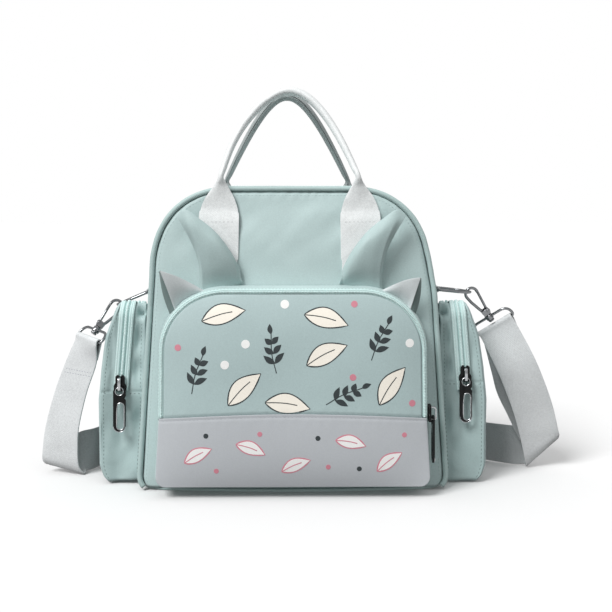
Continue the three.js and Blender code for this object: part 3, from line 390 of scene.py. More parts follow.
# painted shade: dark thread standing in for the shadows of the side pockets' stitch holes
holeShadeThread = threadMaterial("holeShadeThread", (112, 132, 130))
greyThread = threadMaterial("greyThread", (168, 171, 178))
paleThread = threadMaterial("paleThread", (226, 238, 237))
coilPlastic = metalMaterial("paleCoil", (214, 234, 232), 0.0, 0.4)
blackMetal = metalMaterial("blackLacquer", (9, 10, 11), 0.0, 0.3, 0.1, 0.15)
silver = metalMaterial("brightRim", (178, 180, 182), 1.0, 0.18)
gunmetal = metalMaterial("gunmetal", (132, 134, 136), 1.0, 0.13)
inks = dict(
    cream=clothMaterial("creamInk", (244, 238, 226), 0.6, 0.1, 0.02),
    dark=clothMaterial("charcoalInk", (46, 54, 56), 0.6, 0.1, 0.03),
    pink=clothMaterial("dustyPinkInk", (205, 132, 146), 0.6, 0.1, 0.03),
    white=clothMaterial("whiteInk", (240, 240, 238), 0.6, 0.1, 0.02),
)
print("materials ready")


# Making pieces
def only(*objs):
    bpy.ops.object.select_all(action="DESELECT")
    for obj in objs:
        obj.select_set(True)
    bpy.context.view_layer.objects.active = objs[0]


def applyModifier(obj, kind, **settings):
    only(obj)
    modifier = obj.modifiers.new(kind.lower(), kind)
    for key, value in settings.items():
        setattr(modifier, key, value)
    bpy.ops.object.modifier_apply(modifier=modifier.name)


def roundEdges(obj, width, angle):
    applyModifier(
        obj, "BEVEL", width=width * mm, segments=2, limit_method="ANGLE", angle_limit=math.radians(angle)
    )


def mergeDoubles(obj, reach, recalculate=False):
    only(obj)
    bpy.ops.object.mode_set(mode="EDIT")
    bpy.ops.mesh.select_all(action="SELECT")
    bpy.ops.mesh.remove_doubles(threshold=reach * mm)
    if recalculate:
        bpy.ops.mesh.normals_make_consistent(inside=False)
    bpy.ops.object.mode_set(mode="OBJECT")


# Cloth: a grid laid out flat, then every point moved to its place; facing says which side shows
def clothGrid(name, across, along, place, flat, thick, facing, weld=False, offset=-1, bevel=0, lined=()):
    bpy.ops.object.select_all(action="DESELECT")
    bpy.ops.mesh.primitive_grid_add(x_subdivisions=across, y_subdivisions=along, size=1)
    obj = bpy.context.object
    obj.name = name
    mesh = obj.data
    for vert in mesh.vertices:
        vert.co = Vector(place(vert.co.x + 0.5, vert.co.y + 0.5)) * mm
    for corner in mesh.uv_layers.active.data:
        corner.uv = (corner.uv.x * flat[0] * mm, corner.uv.y * flat[1] * mm)
    if weld:
        mergeDoubles(obj, 0.01)
    if sum(f.area * f.normal.dot(facing(f.center / mm)) for f in mesh.polygons) < 0:
        mesh.flip_normals()
    for material in lined:
        mesh.materials.append(material)
    applyModifier(
        obj, "SOLIDIFY", thickness=thick * mm, offset=offset, material_offset=1 if lined else 0,
        material_offset_rim=0,
    )
    if bevel:
        roundEdges(obj, bevel, 55)
    return obj


def facingWay(x, y, z):
    way = Vector((x, y, z))
    return lambda centre: way


def awayFrom(x, y, z):
    middle = Vector((x, y, z))
    return lambda centre: centre - middle


facingFront = facingWay(0, -1, 0)


# Curve turned into a mesh and stood in a frame
def curveMesh(name, loops, closed, stand, **settings):
    data = bpy.data.curves.new(name, "CURVE")
    for key, value in settings.items():
        setattr(data, key, value)
    for loop in loops:
        line = data.splines.new("POLY")
        line.points.add(len(loop) - 1)
        for spot, p in zip(line.points, loop):
            spot.co = (*(Vector(p).to_3d() * mm), 1)
        line.use_cyclic_u = closed
    only(addObject(name, data))
    bpy.ops.object.convert(target="MESH")
    obj = bpy.context.object
    obj.data.transform(stand)
    mergeDoubles(obj, 0.001, True)
    return obj


# Round wire or cord along points
def tube(name, points, radius, closed=False, sides=14):
    return curveMesh(
        name, [points], closed, Matrix.Identity(4), dimensions="3D", bevel_depth=radius * mm,
        bevel_resolution=sides // 2 - 2, use_fill_caps=True,
    )


# Flat outline with holes, thickened with rounded edges
def outlinePlate(name, loops, thick, bevel, stand, middle=0.0):
    return curveMesh(
        name, loops, True, stand @ Matrix.Translation((0, 0, middle * mm)), dimensions="2D", fill_mode="BOTH",
        extrude=(thick / 2 - bevel) * mm, bevel_depth=bevel * mm, bevel_resolution=2, offset=-bevel * mm,
    )


def standIn(origin, a, b, c):
    return Matrix.Translation(Vector(origin) * mm) @ Matrix((a, b, c)).transposed().to_4x4()


# Short round bar between two points, its ends rounded over
def roundBar(name, start, end, radius, sides, bevel):
    bpy.ops.object.select_all(action="DESELECT")
    bpy.ops.mesh.primitive_cylinder_add(
        vertices=sides, radius=radius * mm, depth=(end - start).length * mm, end_fill_type="NGON"
    )
    obj = bpy.context.object
    obj.name = name
    turn = (end - start).to_track_quat("Z", "Y").to_matrix().to_4x4()
    obj.data.transform(Matrix.Translation((start + end) / 2 * mm) @ turn)
    roundEdges(obj, bevel, 50)
    return obj


def joined(name, parts):
    only(*parts)
    bpy.ops.object.join()
    obj = bpy.context.object
    obj.name = obj.data.name = name
    return obj


def give(obj, material):
    obj.data.materials.clear()
    obj.data.materials.append(material)
    return obj


# The right-hand shoulder of the bag slumps inward
slump = dict(
    by=5, z=(190, 245), x=(10, 120),
    pieces=(
        "frontPanel", "backPanel", "sideGusset", "frontPiping", "mainZip", "panelStitches", "mainZipStitches",
    ),
)


def finishPiece(obj, slot, nodes=(), carrier="bag", angle=None):
    only(obj)
    if obj.name in slump["pieces"]:
        for vert in obj.data.vertices:
            x, z = vert.co.x / mm, vert.co.z / mm
            vert.co.x -= slump["by"] * mm * ease(*slump["z"], z) * ease(*slump["x"], x)
    if angle:
        bpy.ops.object.shade_smooth_by_angle(angle=math.radians(angle))
    else:
        bpy.ops.object.shade_smooth()
    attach(obj, carrier)
    if nodes:
        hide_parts(*nodes)
    obj.select_set(False)
    return obj


# One rounded bead copied to many places: each place is an origin and three directions
def beads(name, places, segments, axis):
    bpy.ops.object.select_all(action="DESELECT")
    bpy.ops.mesh.primitive_uv_sphere_add(segments=segments, ring_count=4, radius=1)
    model = bpy.context.object
    model.data.transform(Matrix.Rotation(math.pi / 2, 4, axis))
    model.data.transform(Matrix.Scale(mm, 4))
    verts = [v.co.copy() for v in model.data.vertices]
    loops = [tuple(f.vertices) for f in model.data.polygons]
    points, faces = [], []
    for origin, a, b, c in places:
        start = len(points)
        points += [(origin * mm + a * v.x + b * v.y + c * v.z) for v in verts]
        faces += [tuple(start + i for i in loop) for loop in loops]
    bpy.data.objects.remove(model)
    mesh = bpy.data.meshes.new(name)
    mesh.from_pydata(points, [], faces)
    return addObject(name, mesh)


# Sewing: a row of short threads half sunk in the cloth, on a surface with known outward ways
stitchRows = {}
frontWays = [Vector((0, -1, 0))] * 2


def stitchAlong(group, points, outs, long=2.6, gap=1.1, thick=0.42, sink=0.05):
    count = max(1, int(lengthsAlong(points)[-1] / (long + gap)))
    marks = evenly(points, count * 2 + 1)
    for i in range(count):
        start = marks[2 * i]
        middle = start + (marks[2 * i + 2] - start) * (long / (long + gap)) * 0.5
        along = (marks[2 * i + 1] - start).normalized()
        out = at(outs, i / count)
        out = (out - along * out.dot(along)).normalized()
        side = out.cross(along)
        stitchRows.setdefault(group, []).append(
            (middle - out * sink, along * (long / 2), side * thick, out * (thick * 0.8))
        )


def sewRows(group, material, slot):
    obj = beads(group, stitchRows[group], 6, "Y")
    finishPiece(give(obj, material), slot)


# Zip: a tape, and rounded teeth that lean in turn to either side along a line
toothLean = 0.066  # share of a tooth's width


def makeZip(name, tapeObj, line, outs, node, pitch, wide, tall, long):
    count = max(2, int(lengthsAlong(line)[-1] / pitch))
    marks = evenly(line, count)
    places = []
    for i, p in enumerate(marks):
        along = heading(marks, i)
        out = at(outs, i / (count - 1))
        out = (out - along * out.dot(along)).normalized()
        side = along.cross(out)
        lean = toothLean * wide if i % 2 else -toothLean * wide
        places.append((p + side * lean, along * long / 2, side * wide / 2, out * tall / 2))
    teeth = give(beads(name + "Coil", places, 8, "X"), coilPlastic)
    finishPiece(joined(name, [give(tapeObj, tape), teeth]), "zip_tape", [node])


# The main bag
body = dict(
    lowHalf=156, lowZ=14, footRound=12, shoulderHalf=144.5, shoulderZ=215, shoulderBend=2.3, flatHalf=60,
    top=304, frontLow=-68, frontTop=-60, back=66, dome=3, backDome=3.2, cloth=1.4, piping=2.7, panelInset=5,
    backInset=1.5, backMost=2.6,
    sideZ=(3.3, 4.2, 5.5, 7.5, 10, 14, 60, 120, 180, 215),  # heights that shape the flank below the shoulder
)
panel = dict(
    swell=6, swellZ=(304, 225), drift=1.2, fold=3.2, foldZ=(215, 260), crease=0.8, pucker=0.3,
    puckerZ=(180, 240), groove=4.2, grooveWide=1.7, seam=9.5,
)
bagMiddle = Vector((0, 120))


def bodyHalf(z, inset=0):
    if z < body["lowZ"]:
        t = 1 - z / body["lowZ"]
        return body["lowHalf"] - body["footRound"] * (1 - math.sqrt(max(0, 1 - t * t))) - inset
    if z <= body["shoulderZ"]:
        t = (z - body["lowZ"]) / (body["shoulderZ"] - body["lowZ"])
        return mix(body["lowHalf"], body["shoulderHalf"], t) - inset
    rise = (z - body["shoulderZ"]) / (body["top"] - inset - body["shoulderZ"])
    reach = body["shoulderHalf"] - body["flatHalf"] - inset
    return body["flatHalf"] + reach * max(0, 1 - rise ** body["shoulderBend"]) ** (1 / body["shoulderBend"])


def bodySide(inset, count):
    points = [Vector((bodyHalf(z, inset), z)) for z in body["sideZ"]]
    power = 2 / body["shoulderBend"]
    reach = body["shoulderHalf"] - body["flatHalf"] - inset
    rise = body["top"] - body["shoulderZ"] - inset
    steps = 60
    for i in range(1, steps + 1):
        turn = i / steps * math.pi / 2
        x = body["flatHalf"] + reach * max(0, math.cos(turn)) ** power
        points.append(Vector((x, body["shoulderZ"] + rise * math.sin(turn) ** power)))
    return evenly(points, count)


def bodyArch(inset, count):
    return evenly(mirrored(bodySide(inset, 160)), count)


def upTheBag(z):
    return clamp(2 * z / body["top"] - 1, -1, 1)


def frontEdge(z):
    return mix(body["frontLow"], body["frontTop"], z / body["top"])


def frontFace(x, z):
    return frontEdge(z) - 1 - body["dome"] * puff(clamp(x / bodyHalf(z), -1, 1), upTheBag(z))


def bodyMargin(x, z, inset):
    top = body["top"] - inset
    return max(0, min(bodyHalf(min(z, top - 0.01), inset) - abs(x), top - z))


# Front panel: domed, drawn in at the piping, with long soft folds from the corners and handle tabs
def panelFront(x, z):
    edge = bodyMargin(x, z, body["panelInset"])
    y = frontFace(x, z)
    y -= panel["swell"] * ease(*panel["swellZ"], z) * (1 - clamp(x / bodyHalf(z), -1, 1) ** 2)
    y += panel["drift"] * ripple(x + z * 0.7, 0, z - x * 0.4, 78, 1)
    folds = ripple((x - z) * 2.2, 0, (x + z) * 0.35, 60, 9)
    y += panel["fold"] * folds * ease(*panel["foldZ"], z) * ease(3, 25, edge)
    y += panel["crease"] * ripple(x + z, 0, z * 0.5, 34, 2) * ease(4, 30, edge)
    puckers = math.sin(x * 0.5 + 7 * ripple(x, 0, z, 40, 3))
    y += panel["pucker"] * hump(edge, 7) * puckers * ease(*panel["puckerZ"], z)
    y += panel["groove"] * math.exp(-edge / panel["grooveWide"])
    return y


def makePanels():
    frontRows = bodySide(body["panelInset"], 120)
    backRows = bodySide(body["backInset"], 100)

    def frontPlace(u, v):
        row = at(frontRows, v)
        x = (2 * u - 1) * row.x
        return x, panelFront(x, row.y), row.y

    def backPlace(u, v):
        row = at(backRows, v)
        x, z = (2 * u - 1) * row.x, row.y
        edge = bodyMargin(x, z, body["backInset"])
        y = body["back"] - 1.2 + body["backDome"] * puff(2 * u - 1, upTheBag(z))
        y += 0.9 * ripple(x, 3, z, 60, 5) - 1.2 * hump(edge - 7, 1.8)
        return x, min(y, body["back"] + body["backMost"]), z

    obj = clothGrid("frontPanel", 130, 119, frontPlace, (306, 304), body["cloth"], facingFront)
    finishPiece(give(obj, mint), "mint_cloth", ["front_panel"])
    obj = clothGrid("backPanel", 100, 99, backPlace, (310, 302), body["cloth"], facingWay(0, 1, 0))
    finishPiece(give(obj, mint), "mint_cloth", ["back_panel"])


def makeGusset():
    arch = bodyArch(1, 321)
    outward = outwardOf(arch, bagMiddle)

    def place(u, v):
        p, n = at(arch, v), at(outward, v)
        y = mix(frontEdge(p.y) + 1.5, body["back"] - 0.4, u)
        lift = (0.7 + 0.9 * ripple(p.x, y, p.y, 46, 6)) * halfWave(u)
        puckers = math.sin(v * 380 + 4 * ripple(p.x, 0, p.y, 50, 7))
        lift += 0.45 * (hump(u, 0.09) + hump(1 - u, 0.09)) * puckers
        lift = min(lift, 0.75) if p.y > 20 else min(lift, 0.2)
        return p.x + n.x * lift, y, p.y + n.y * lift

    obj = clothGrid("sideGusset", 36, 320, place, (130, 880), body["cloth"], awayFrom(0, 0, 120))
    finishPiece(give(obj, mint), "mint_cloth", ["side_gusset"])


def makePiping():
    run = [Vector((p.x, frontEdge(p.y), p.y)) for p in bodyArch(body["piping"], 420)]
    obj = tube("frontPiping", run, body["piping"])
    for vert in obj.data.vertices:
        vert.co += vert.normal * (0.16 * ripple(*(vert.co / mm), 9, 8)) * mm
    finishPiece(give(obj, mintEdge), "mint_cloth", ["front_piping"])
    seam = [Vector((p.x, panelFront(p.x, p.y), p.y)) for p in bodyArch(panel["seam"], 300)]
    stitchAlong("panelStitches", seam, frontWays, 2.4, 1.4, 0.36)
    sewRows("panelStitches", mintThreadAndHoleShade, "mint_cloth")


base = dict(half=152, frontCorner=-62, frontMiddle=-78, corner=14, thick=3, bevel=1.1)


def bend(a, b, c, steps=14):
    out = []
    for i in range(steps):
        t = i / steps
        out.append((1 - t) ** 2 * Vector(a) + 2 * t * (1 - t) * Vector(b) + t * t * Vector(c))
    return out


def makeBase():
    half, r, back, corner = base["half"], base["corner"], body["back"], base["frontCorner"]
    turnX, turnY = half - 1.6 * r, corner - r / 2
    loop = bend((-half + r, back), (-half, back), (-half, back - r))
    loop += bend((-half, corner + r), (-half, corner), (-turnX, turnY))
    loop += bend((-turnX, turnY), (0, 2 * base["frontMiddle"] - turnY), (turnX, turnY), 40)
    loop += bend((turnX, turnY), (half, corner), (half, corner + r))
    loop += bend((half, back - r), (half, back), (half - r, back))
    thick = base["thick"]
    obj = outlinePlate("basePanel", [loop], thick, base["bevel"], Matrix.Identity(4), thick / 2)
    finishPiece(give(obj, mintEdge), "mint_cloth", ["base_panel"], angle=50)


mainZip = dict(half=14, low=246, thick=1.0, seam=11.5, coil=(1.7, 5.2, 1.6, 1.3))


def makeMainZip():
    run = [p for p in bodyArch(-0.5, 641) if p.y > mainZip["low"]]
    outs = outwardOf(run, bagMiddle)
    ways = [Vector((n.x, 0, n.y)) for n in outs]

    def place(u, v):
        p, n = at(run, v), at(outs, v)
        lift = 0.5 - 0.25 * hump(abs(2 * u - 1) - 0.8, 0.05)
        return p.x + n.x * lift, (2 * u - 1) * mainZip["half"], p.y + n.y * lift

    def lineAt(y, lift):
        return [Vector((p.x + n.x * lift, y, p.y + n.y * lift)) for p, n in zip(run, outs)]

    obj = clothGrid("mainZipTape", 28, 160, place, (28, 330), mainZip["thick"], awayFrom(0, 0, 120))
    makeZip("mainZip", obj, lineAt(0, 0.8), ways, "main_zip", *mainZip["coil"])
    for side in (-1, 1):
        stitchAlong("mainZipStitches", lineAt(side * mainZip["seam"], 0.5), ways)
    sewRows("mainZipStitches", mintThreadAndHoleShade, "zip_tape")


makePanels()
makeGusset()
makePiping()
makeBase()
makeMainZip()
print("main bag made")


# Front pocket
pocket = dict(
    half=131, top=202, bottom=11, cornerX=67, cornerZ=142, foot=10, widen=3, flare=3, depthLow=33,
    depthTop=25, bulge=10, seamZ=77, seamRise=6, seamHalf=127, zipEnd=74, upperInset=5.0, lowerInset=0.5,
    lap=3, cloth=1.4, tape=0.7, coil=(1.45, 2.5, 1.5, 1.15),
    zipProfile=[  # across the tape from the wall to the face: outward, then backward
        (0.6, 4.4), (0.55, 2.6), (0.1, 0.9), (-0.9, -0.5), (-1.6, -0.2), (-2.6, -0.6), (-3.7, -0.2),
        (-4.4, -0.5), (-5.6, 1.3),
    ],
)
pocketMiddle = Vector((0, 105))


def pocketWiden(z):
    return pocket["widen"] * max(0, (pocket["seamZ"] - z) / (pocket["seamZ"] - pocket["bottom"]))


def pocketHalf(z, inset=0):
    footX, footZ = pocket["half"] - pocket["foot"], pocket["bottom"] + pocket["foot"]
    if z < footZ:
        r = pocket["foot"] - inset
        return footX + math.sqrt(max(0, r * r - (footZ - z) ** 2)) + pocketWiden(z)
    if z <= pocket["cornerZ"]:
        return pocket["half"] - inset + pocketWiden(z)
    rise = (z - pocket["cornerZ"]) / (pocket["top"] - pocket["cornerZ"] - inset)
    reach = pocket["half"] - pocket["cornerX"] - inset
    return pocket["cornerX"] + reach * math.sqrt(max(0, 1 - rise * rise))


def pocketSide(inset, count=300):
    foot, cornerX, cornerZ = pocket["foot"], pocket["cornerX"], pocket["cornerZ"]
    footMiddle = (pocket["half"] - foot, pocket["bottom"] + foot)
    points = oval(footMiddle, (foot - inset, foot - inset), -math.pi / 2, 0, 24)
    points.append(Vector((pocket["half"] - inset, pocket["seamZ"])))
    reach = (pocket["half"] - cornerX - inset, pocket["top"] - cornerZ - inset)
    points += oval((cornerX, cornerZ), reach, 0, math.pi / 2, 40)
    return evenly([Vector((p.x + pocketWiden(p.y), p.y)) for p in points], count)


def pocketEdge(z):
    t = (z - pocket["bottom"]) / (pocket["top"] - pocket["bottom"])
    return frontEdge(z) - mix(pocket["depthLow"], pocket["depthTop"], t)


def seamLift(x, z):
    end = pocket["top"] if z > pocket["seamZ"] else pocket["bottom"]
    fade = (end - z) / (end - pocket["seamZ"])
    return pocket["seamRise"] * (1 - (x / pocket["half"]) ** 2) * max(0, fade)


# Front of the pocket's face before the seam's arch is added
def pocketSkin(x, z, inset, back):
    u = clamp(x / pocketHalf(z, inset), -1, 1)
    v = clamp((2 * z - pocket["top"] - pocket["bottom"]) / (pocket["top"] - pocket["bottom"]), -1, 1)
    swell = puff(u, v)
    y = pocketEdge(z) + back - (pocket["bulge"] + back) * swell
    return y + (1.3 * ripple(x, 0, z, 88, 11) + 0.5 * ripple(x, 0, z, 36, 12)) * swell


def upperSkin(x, z):
    over = z - pocket["seamZ"]
    y = pocketSkin(x, z, pocket["upperInset"], -1) + 1.9 * ease(2.4, -1.5, over)
    return y + 0.12 * hump(over - 3, 3) * math.sin(x * 0.5 + 6 * ripple(x, 0, 0, 30, 13))


def lowerSkin(x, z):
    under = pocket["seamZ"] - z
    y = pocketSkin(x, z, pocket["lowerInset"], 0.2)
    y += -0.35 + 0.4 * hump(under - 2.6, 0.9) - 0.2 * hump(under - 1, 0.8)
    return y + 0.1 * hump(under - 6, 5) * math.sin(x * 0.45 + 6 * ripple(x, 2, 0, 30, 14))


def onFace(x, z, lift):
    flatZ = z
    for _ in range(3):
        flatZ = z - seamLift(x, flatZ)
    skin = upperSkin if flatZ > pocket["seamZ"] else lowerSkin
    return Vector((x, skin(x, flatZ) - lift, z))


def pocketFace(name, side, count, skin, cut, bevel=0):
    rows = evenly(side, count)

    def place(u, v):
        row = at(rows, v)
        x = (2 * u - 1) * row.x
        return x, skin(x, row.y), row.y + seamLift(x, row.y)

    return clothGrid(name, 130, count - 1, place, cut, pocket["cloth"], facingFront, bevel=bevel)


# The lower face is lapped over the upper one
def makePocketFaces():
    seamZ, inset = pocket["seamZ"], pocket["upperInset"]
    low = seamZ - pocket["lap"]
    side = [Vector((pocketHalf(low, inset), low))] + [p for p in pocketSide(inset) if p.y > low]
    obj = pocketFace("pocketFaceUpper", side, 96, upperSkin, (254, 126))
    finishPiece(give(obj, paintedShadePocketMint), "mint_cloth", ["pocket_face_upper"])

    inset = pocket["lowerInset"]
    side = [p for p in pocketSide(inset) if p.y < seamZ] + [Vector((pocketHalf(seamZ, inset), seamZ))]
    obj = pocketFace("pocketFaceLower", side, 64, lowerSkin, (261, 68), 0.4)
    finishPiece(give(obj, grey), "grey_cloth", ["pocket_face_lower"])
    seam = []
    for i in range(160):
        x, z = mix(-pocket["seamHalf"], pocket["seamHalf"], i / 159), seamZ - 2.6
        seam.append(Vector((x, lowerSkin(x, z), z + seamLift(x, z))))
    stitchAlong("pocketSeamStitches", seam, frontWays, 2.5, 1.3, 0.4)
    sewRows("pocketSeamStitches", greyThread, "grey_cloth")


def makePocketWall():
    loop, ways = closedRun(evenly(mirrored(pocketSide(0)), 420, True), pocketMiddle)

    def place(u, v):
        p, n = at(loop, v), at(ways, v)
        front = pocketEdge(p.y) + mix(2.7, 0.9, ease(pocket["seamZ"] + 2, pocket["seamZ"] - 4, p.y))
        y = mix(panelFront(p.x, p.y) - 0.7, front, u)
        out = mix(pocket["flare"], 0, u) - 0.5 * hump(u - 0.1, 0.05)
        out += (0.7 + 0.8 * ripple(p.x, y, p.y, 24, 15)) * halfWave(u)
        return p.x + n.x * out, y, p.y + n.y * out

    around = awayFrom(0, -80, 105)
    obj = clothGrid("pocketWall", 16, 420, place, (31, 800), pocket["cloth"], around, weld=True)
    finishPiece(give(obj, mint), "mint_cloth", ["pocket_wall"])


# Zip from the left end over the top to the slider
def makePocketZip():
    low, seamZ = pocket["zipEnd"], pocket["seamZ"]
    right = [Vector((pocketHalf(low), low))] + [p for p in pocketSide(0) if p.y > low + 1]
    run = evenly(mirrored(right), 400)
    ways = outwardOf(run, pocketMiddle)
    profile = curveThrough(pocket["zipProfile"], 4)

    def spot(p, n, out, back):
        return Vector((p.x + n.x * out, pocketEdge(p.y) + back, p.y + n.y * out))

    def place(u, v):
        p, s = at(run, v), at(profile, u)
        return spot(p, at(ways, v), s.x, s.y + 2.2 * ease(seamZ + 2, seamZ - 1, p.y))

    obj = clothGrid("pocketZipTape", 30, 360, place, (10, 540), pocket["tape"], facingFront)
    line = [spot(p, n, -2.6, -1.0) for p, n in zip(run, ways) if p.y > seamZ + 1]
    makeZip("pocketZip", obj, line, frontWays, "pocket_zip", *pocket["coil"])
    edge = [spot(p, n, 0.3, 1.3) for p, n in zip(run, ways)]
    outs = [Vector((n.x, -1, n.y)).normalized() for n in ways]
    stitchAlong("pocketZipStitches", edge, outs, 2.2, 1.2, 0.38)
    sewRows("pocketZipStitches", mintThreadAndHoleShade, "zip_tape")


makePocketFaces()
makePocketWall()
makePocketZip()
print("front pocket made")


# Printed sprigs on the pocket: thin ink shapes that follow the face
printRows = dict(
    sprigs=[(-98, 102, 74), (-16, 122, 98), (76, 134, 64), (32, 92, 24)],
    leaves=[(-88, 172, 14), (-62, 92, 44), (12, 178, -14), (14, 130, 26), (84, 92, 54), (-26, 94, -8)],
    berries=[(-46, 150), (-112, 146), (-8, 188), (60, 188), (114, 150), (116, 92), (-66, 130), (58, 118)],
    lowLeaves=[(-104, 36, 28), (-54, 54, -20), (-10, 28, 22), (42, 58, -12), (82, 28, 36)],
    lowBerries=[(-74, 28), (-84, 62), (-32, 64), (24, 60), (34, 32), (64, 30), (108, 62)],
    sprig=38, leafAt=(0.25, 0.5, 0.75), splay=48, sprigLeaf=(0.36, 0.15), taper=0.06, sprigTip=(0.26, 0.13),
    leaf=(42, 18), lowLeaf=(28, 11.5), berry=(4.2, 3.2), lowBerry=2.4, line=1.1, rib=0.9, curl=0.05,
    film=0.12, under=0.14, ink=0.16, over=0.24, top=0.34,  # the ink's thickness, and how far layers stand off
    slots=dict(cream="webbing", dark="black_metal", pink="grey_cloth", white="webbing"),
)
inkParts = {colour: [] for colour in inks}


def inkPatch(colour, place, across, along):
    obj = clothGrid("ink", across, along, place, (20, 20), printRows["film"], facingFront)
    inkParts[colour].append(obj)


def turned(turn):
    way = Vector((math.cos(math.radians(turn)), math.sin(math.radians(turn))))
    return way, Vector((-way.y, way.x))


def inkLeaf(colour, start, turn, long, wide, lift, grow=0.0):
    way, side = turned(turn)

    def place(u, v):
        t = mix(-grow / long, 1 + grow / long, v)
        full = halfWave(clamp(v, 0.01, 0.99) ** 0.86)
        width = (wide * full + 2 * grow * min(1, 3 * full)) * (u - 0.5)
        p = start + way * (t * long) + side * (width + printRows["curl"] * long * halfWave(v))
        return onFace(p.x, p.y, lift)

    inkPatch(colour, place, 6, 14)


def inkLine(colour, points, lift):
    run = evenly(curveThrough(points, 6), 16)

    def place(u, v):
        i = int(round(v * 15))
        along = heading(run, i)
        p = run[i] + Vector((-along.y, along.x)) * (printRows["rib"] * (u - 0.5))
        return onFace(p.x, p.y, lift)

    inkPatch(colour, place, 2, 15)


def inkDot(colour, x, z, radius):
    def place(u, v):
        a, b = 2 * u - 1, 2 * v - 1
        p = Vector((a * math.sqrt(1 - b * b / 2), b * math.sqrt(1 - a * a / 2))) * radius
        return onFace(x + p.x, z + p.y, printRows["ink"])

    inkPatch(colour, place, 8, 8)


def inkSprig(x, z, turn):
    r = printRows
    size, start = r["sprig"], Vector((x, z))
    way, side = turned(turn)
    tip = start + way * size
    inkLine("dark", [start, start + way * size * 0.5 + side * size * r["curl"], tip], r["under"])
    long, wide = r["sprigLeaf"]
    for k, t in enumerate(r["leafAt"]):
        root, leafLong = start + way * (size * t), size * (long - r["taper"] * k)
        for hand in (-1, 1):
            inkLeaf("dark", root, turn + hand * r["splay"], leafLong, size * wide, r["ink"])
    tipLong, tipWide = r["sprigTip"]
    inkLeaf("dark", tip, turn, size * tipLong, size * tipWide, r["ink"])


# A leaf with an outline below it and a rib on it
def inkedLeaf(lineColour, colour, x, z, turn, size):
    r, start = printRows, Vector((x, z))
    inkLeaf(lineColour, start, turn, *size, r["under"], r["line"])
    inkLeaf(colour, start, turn, *size, r["over"])
    way, side = turned(turn)
    bows = [(t, r["curl"] * halfWave(t)) for t in (0.0, 0.25, 0.5, 0.72)]
    inkLine(lineColour, [start + way * (t * size[0]) + side * (bow * size[0]) for t, bow in bows], r["top"])


def makePrint():
    r = printRows
    for row in r["sprigs"]:
        inkSprig(*row)
    for row in r["leaves"]:
        inkedLeaf("dark", "cream", *row, r["leaf"])
    for i, spot in enumerate(r["berries"]):
        inkDot("pink" if i % 2 else "white", *spot, r["berry"][i % 2])
    for row in r["lowLeaves"]:
        inkedLeaf("pink", "white", *row, r["lowLeaf"])
    for i, spot in enumerate(r["lowBerries"]):
        inkDot("dark" if i % 2 else "pink", *spot, r["lowBerry"])
    for colour, slot in r["slots"].items():
        obj = joined("print" + colour.capitalize(), inkParts[colour])
        finishPiece(give(obj, inks[colour]), slot, angle=30)


makePrint()
print("print laid on")


# Ear flaps: columns from the inner edge to the fold, as baseX, baseZ, baseY, topX, topZ, topY
ears = dict(
    bow=8.5, aside={-1: 0, 1: -3.5}, flapTip={-1: (5, 5), 1: (0, -2)},
    thick=dict(leaf=2.2, flap=1.2, fold=1.0), belly=2.4, waver=0.9, forward=11, foot=4.5, rimWaver=0.7,
    hem=0.7, rimBack=6.5, flapBelly=3.2, foldBelly=2.2,
    leaf=[
        (49.5, 203.4, -75.6, 53, 222, -75.8), (58, 203.4, -76.6, 61, 238, -77.0),
        (69, 202.6, -77.6, 76, 258, -78.2), (81, 200.2, -78.2, 93, 272, -78.0),
        (88, 197.8, -78.2, 107, 280.5, -76.5), (93, 195.8, -78.0, 115.5, 274.5, -75),
    ],
    flap=[
        (87, 197.5, -77, 87.5, 200, -78), (98, 193, -76, 100, 207, -84), (106, 187.5, -75, 110.5, 212, -88),
        (112, 182, -77, 119, 214.5, -91), (114.5, 178, -82, 125, 215.5, -92),
    ],
    fold=[
        (114.5, 178, -82, 125, 215.5, -92), (118, 176, -81, 126.2, 215, -88),
        (121, 173.5, -77, 127, 214, -83),
    ],
)


def earPoint(columns, bow, u, t):
    spots = []
    for c, (baseX, baseZ, baseY, topX, topZ, topY) in enumerate(columns):
        lean = bow * c / (len(columns) - 1) * halfWave(t)
        spots.append(Vector((mix(baseX, topX, t) - lean, mix(baseY, topY, t), mix(baseZ, topZ, t))))
    return at(curveThrough(spots, 8), u)


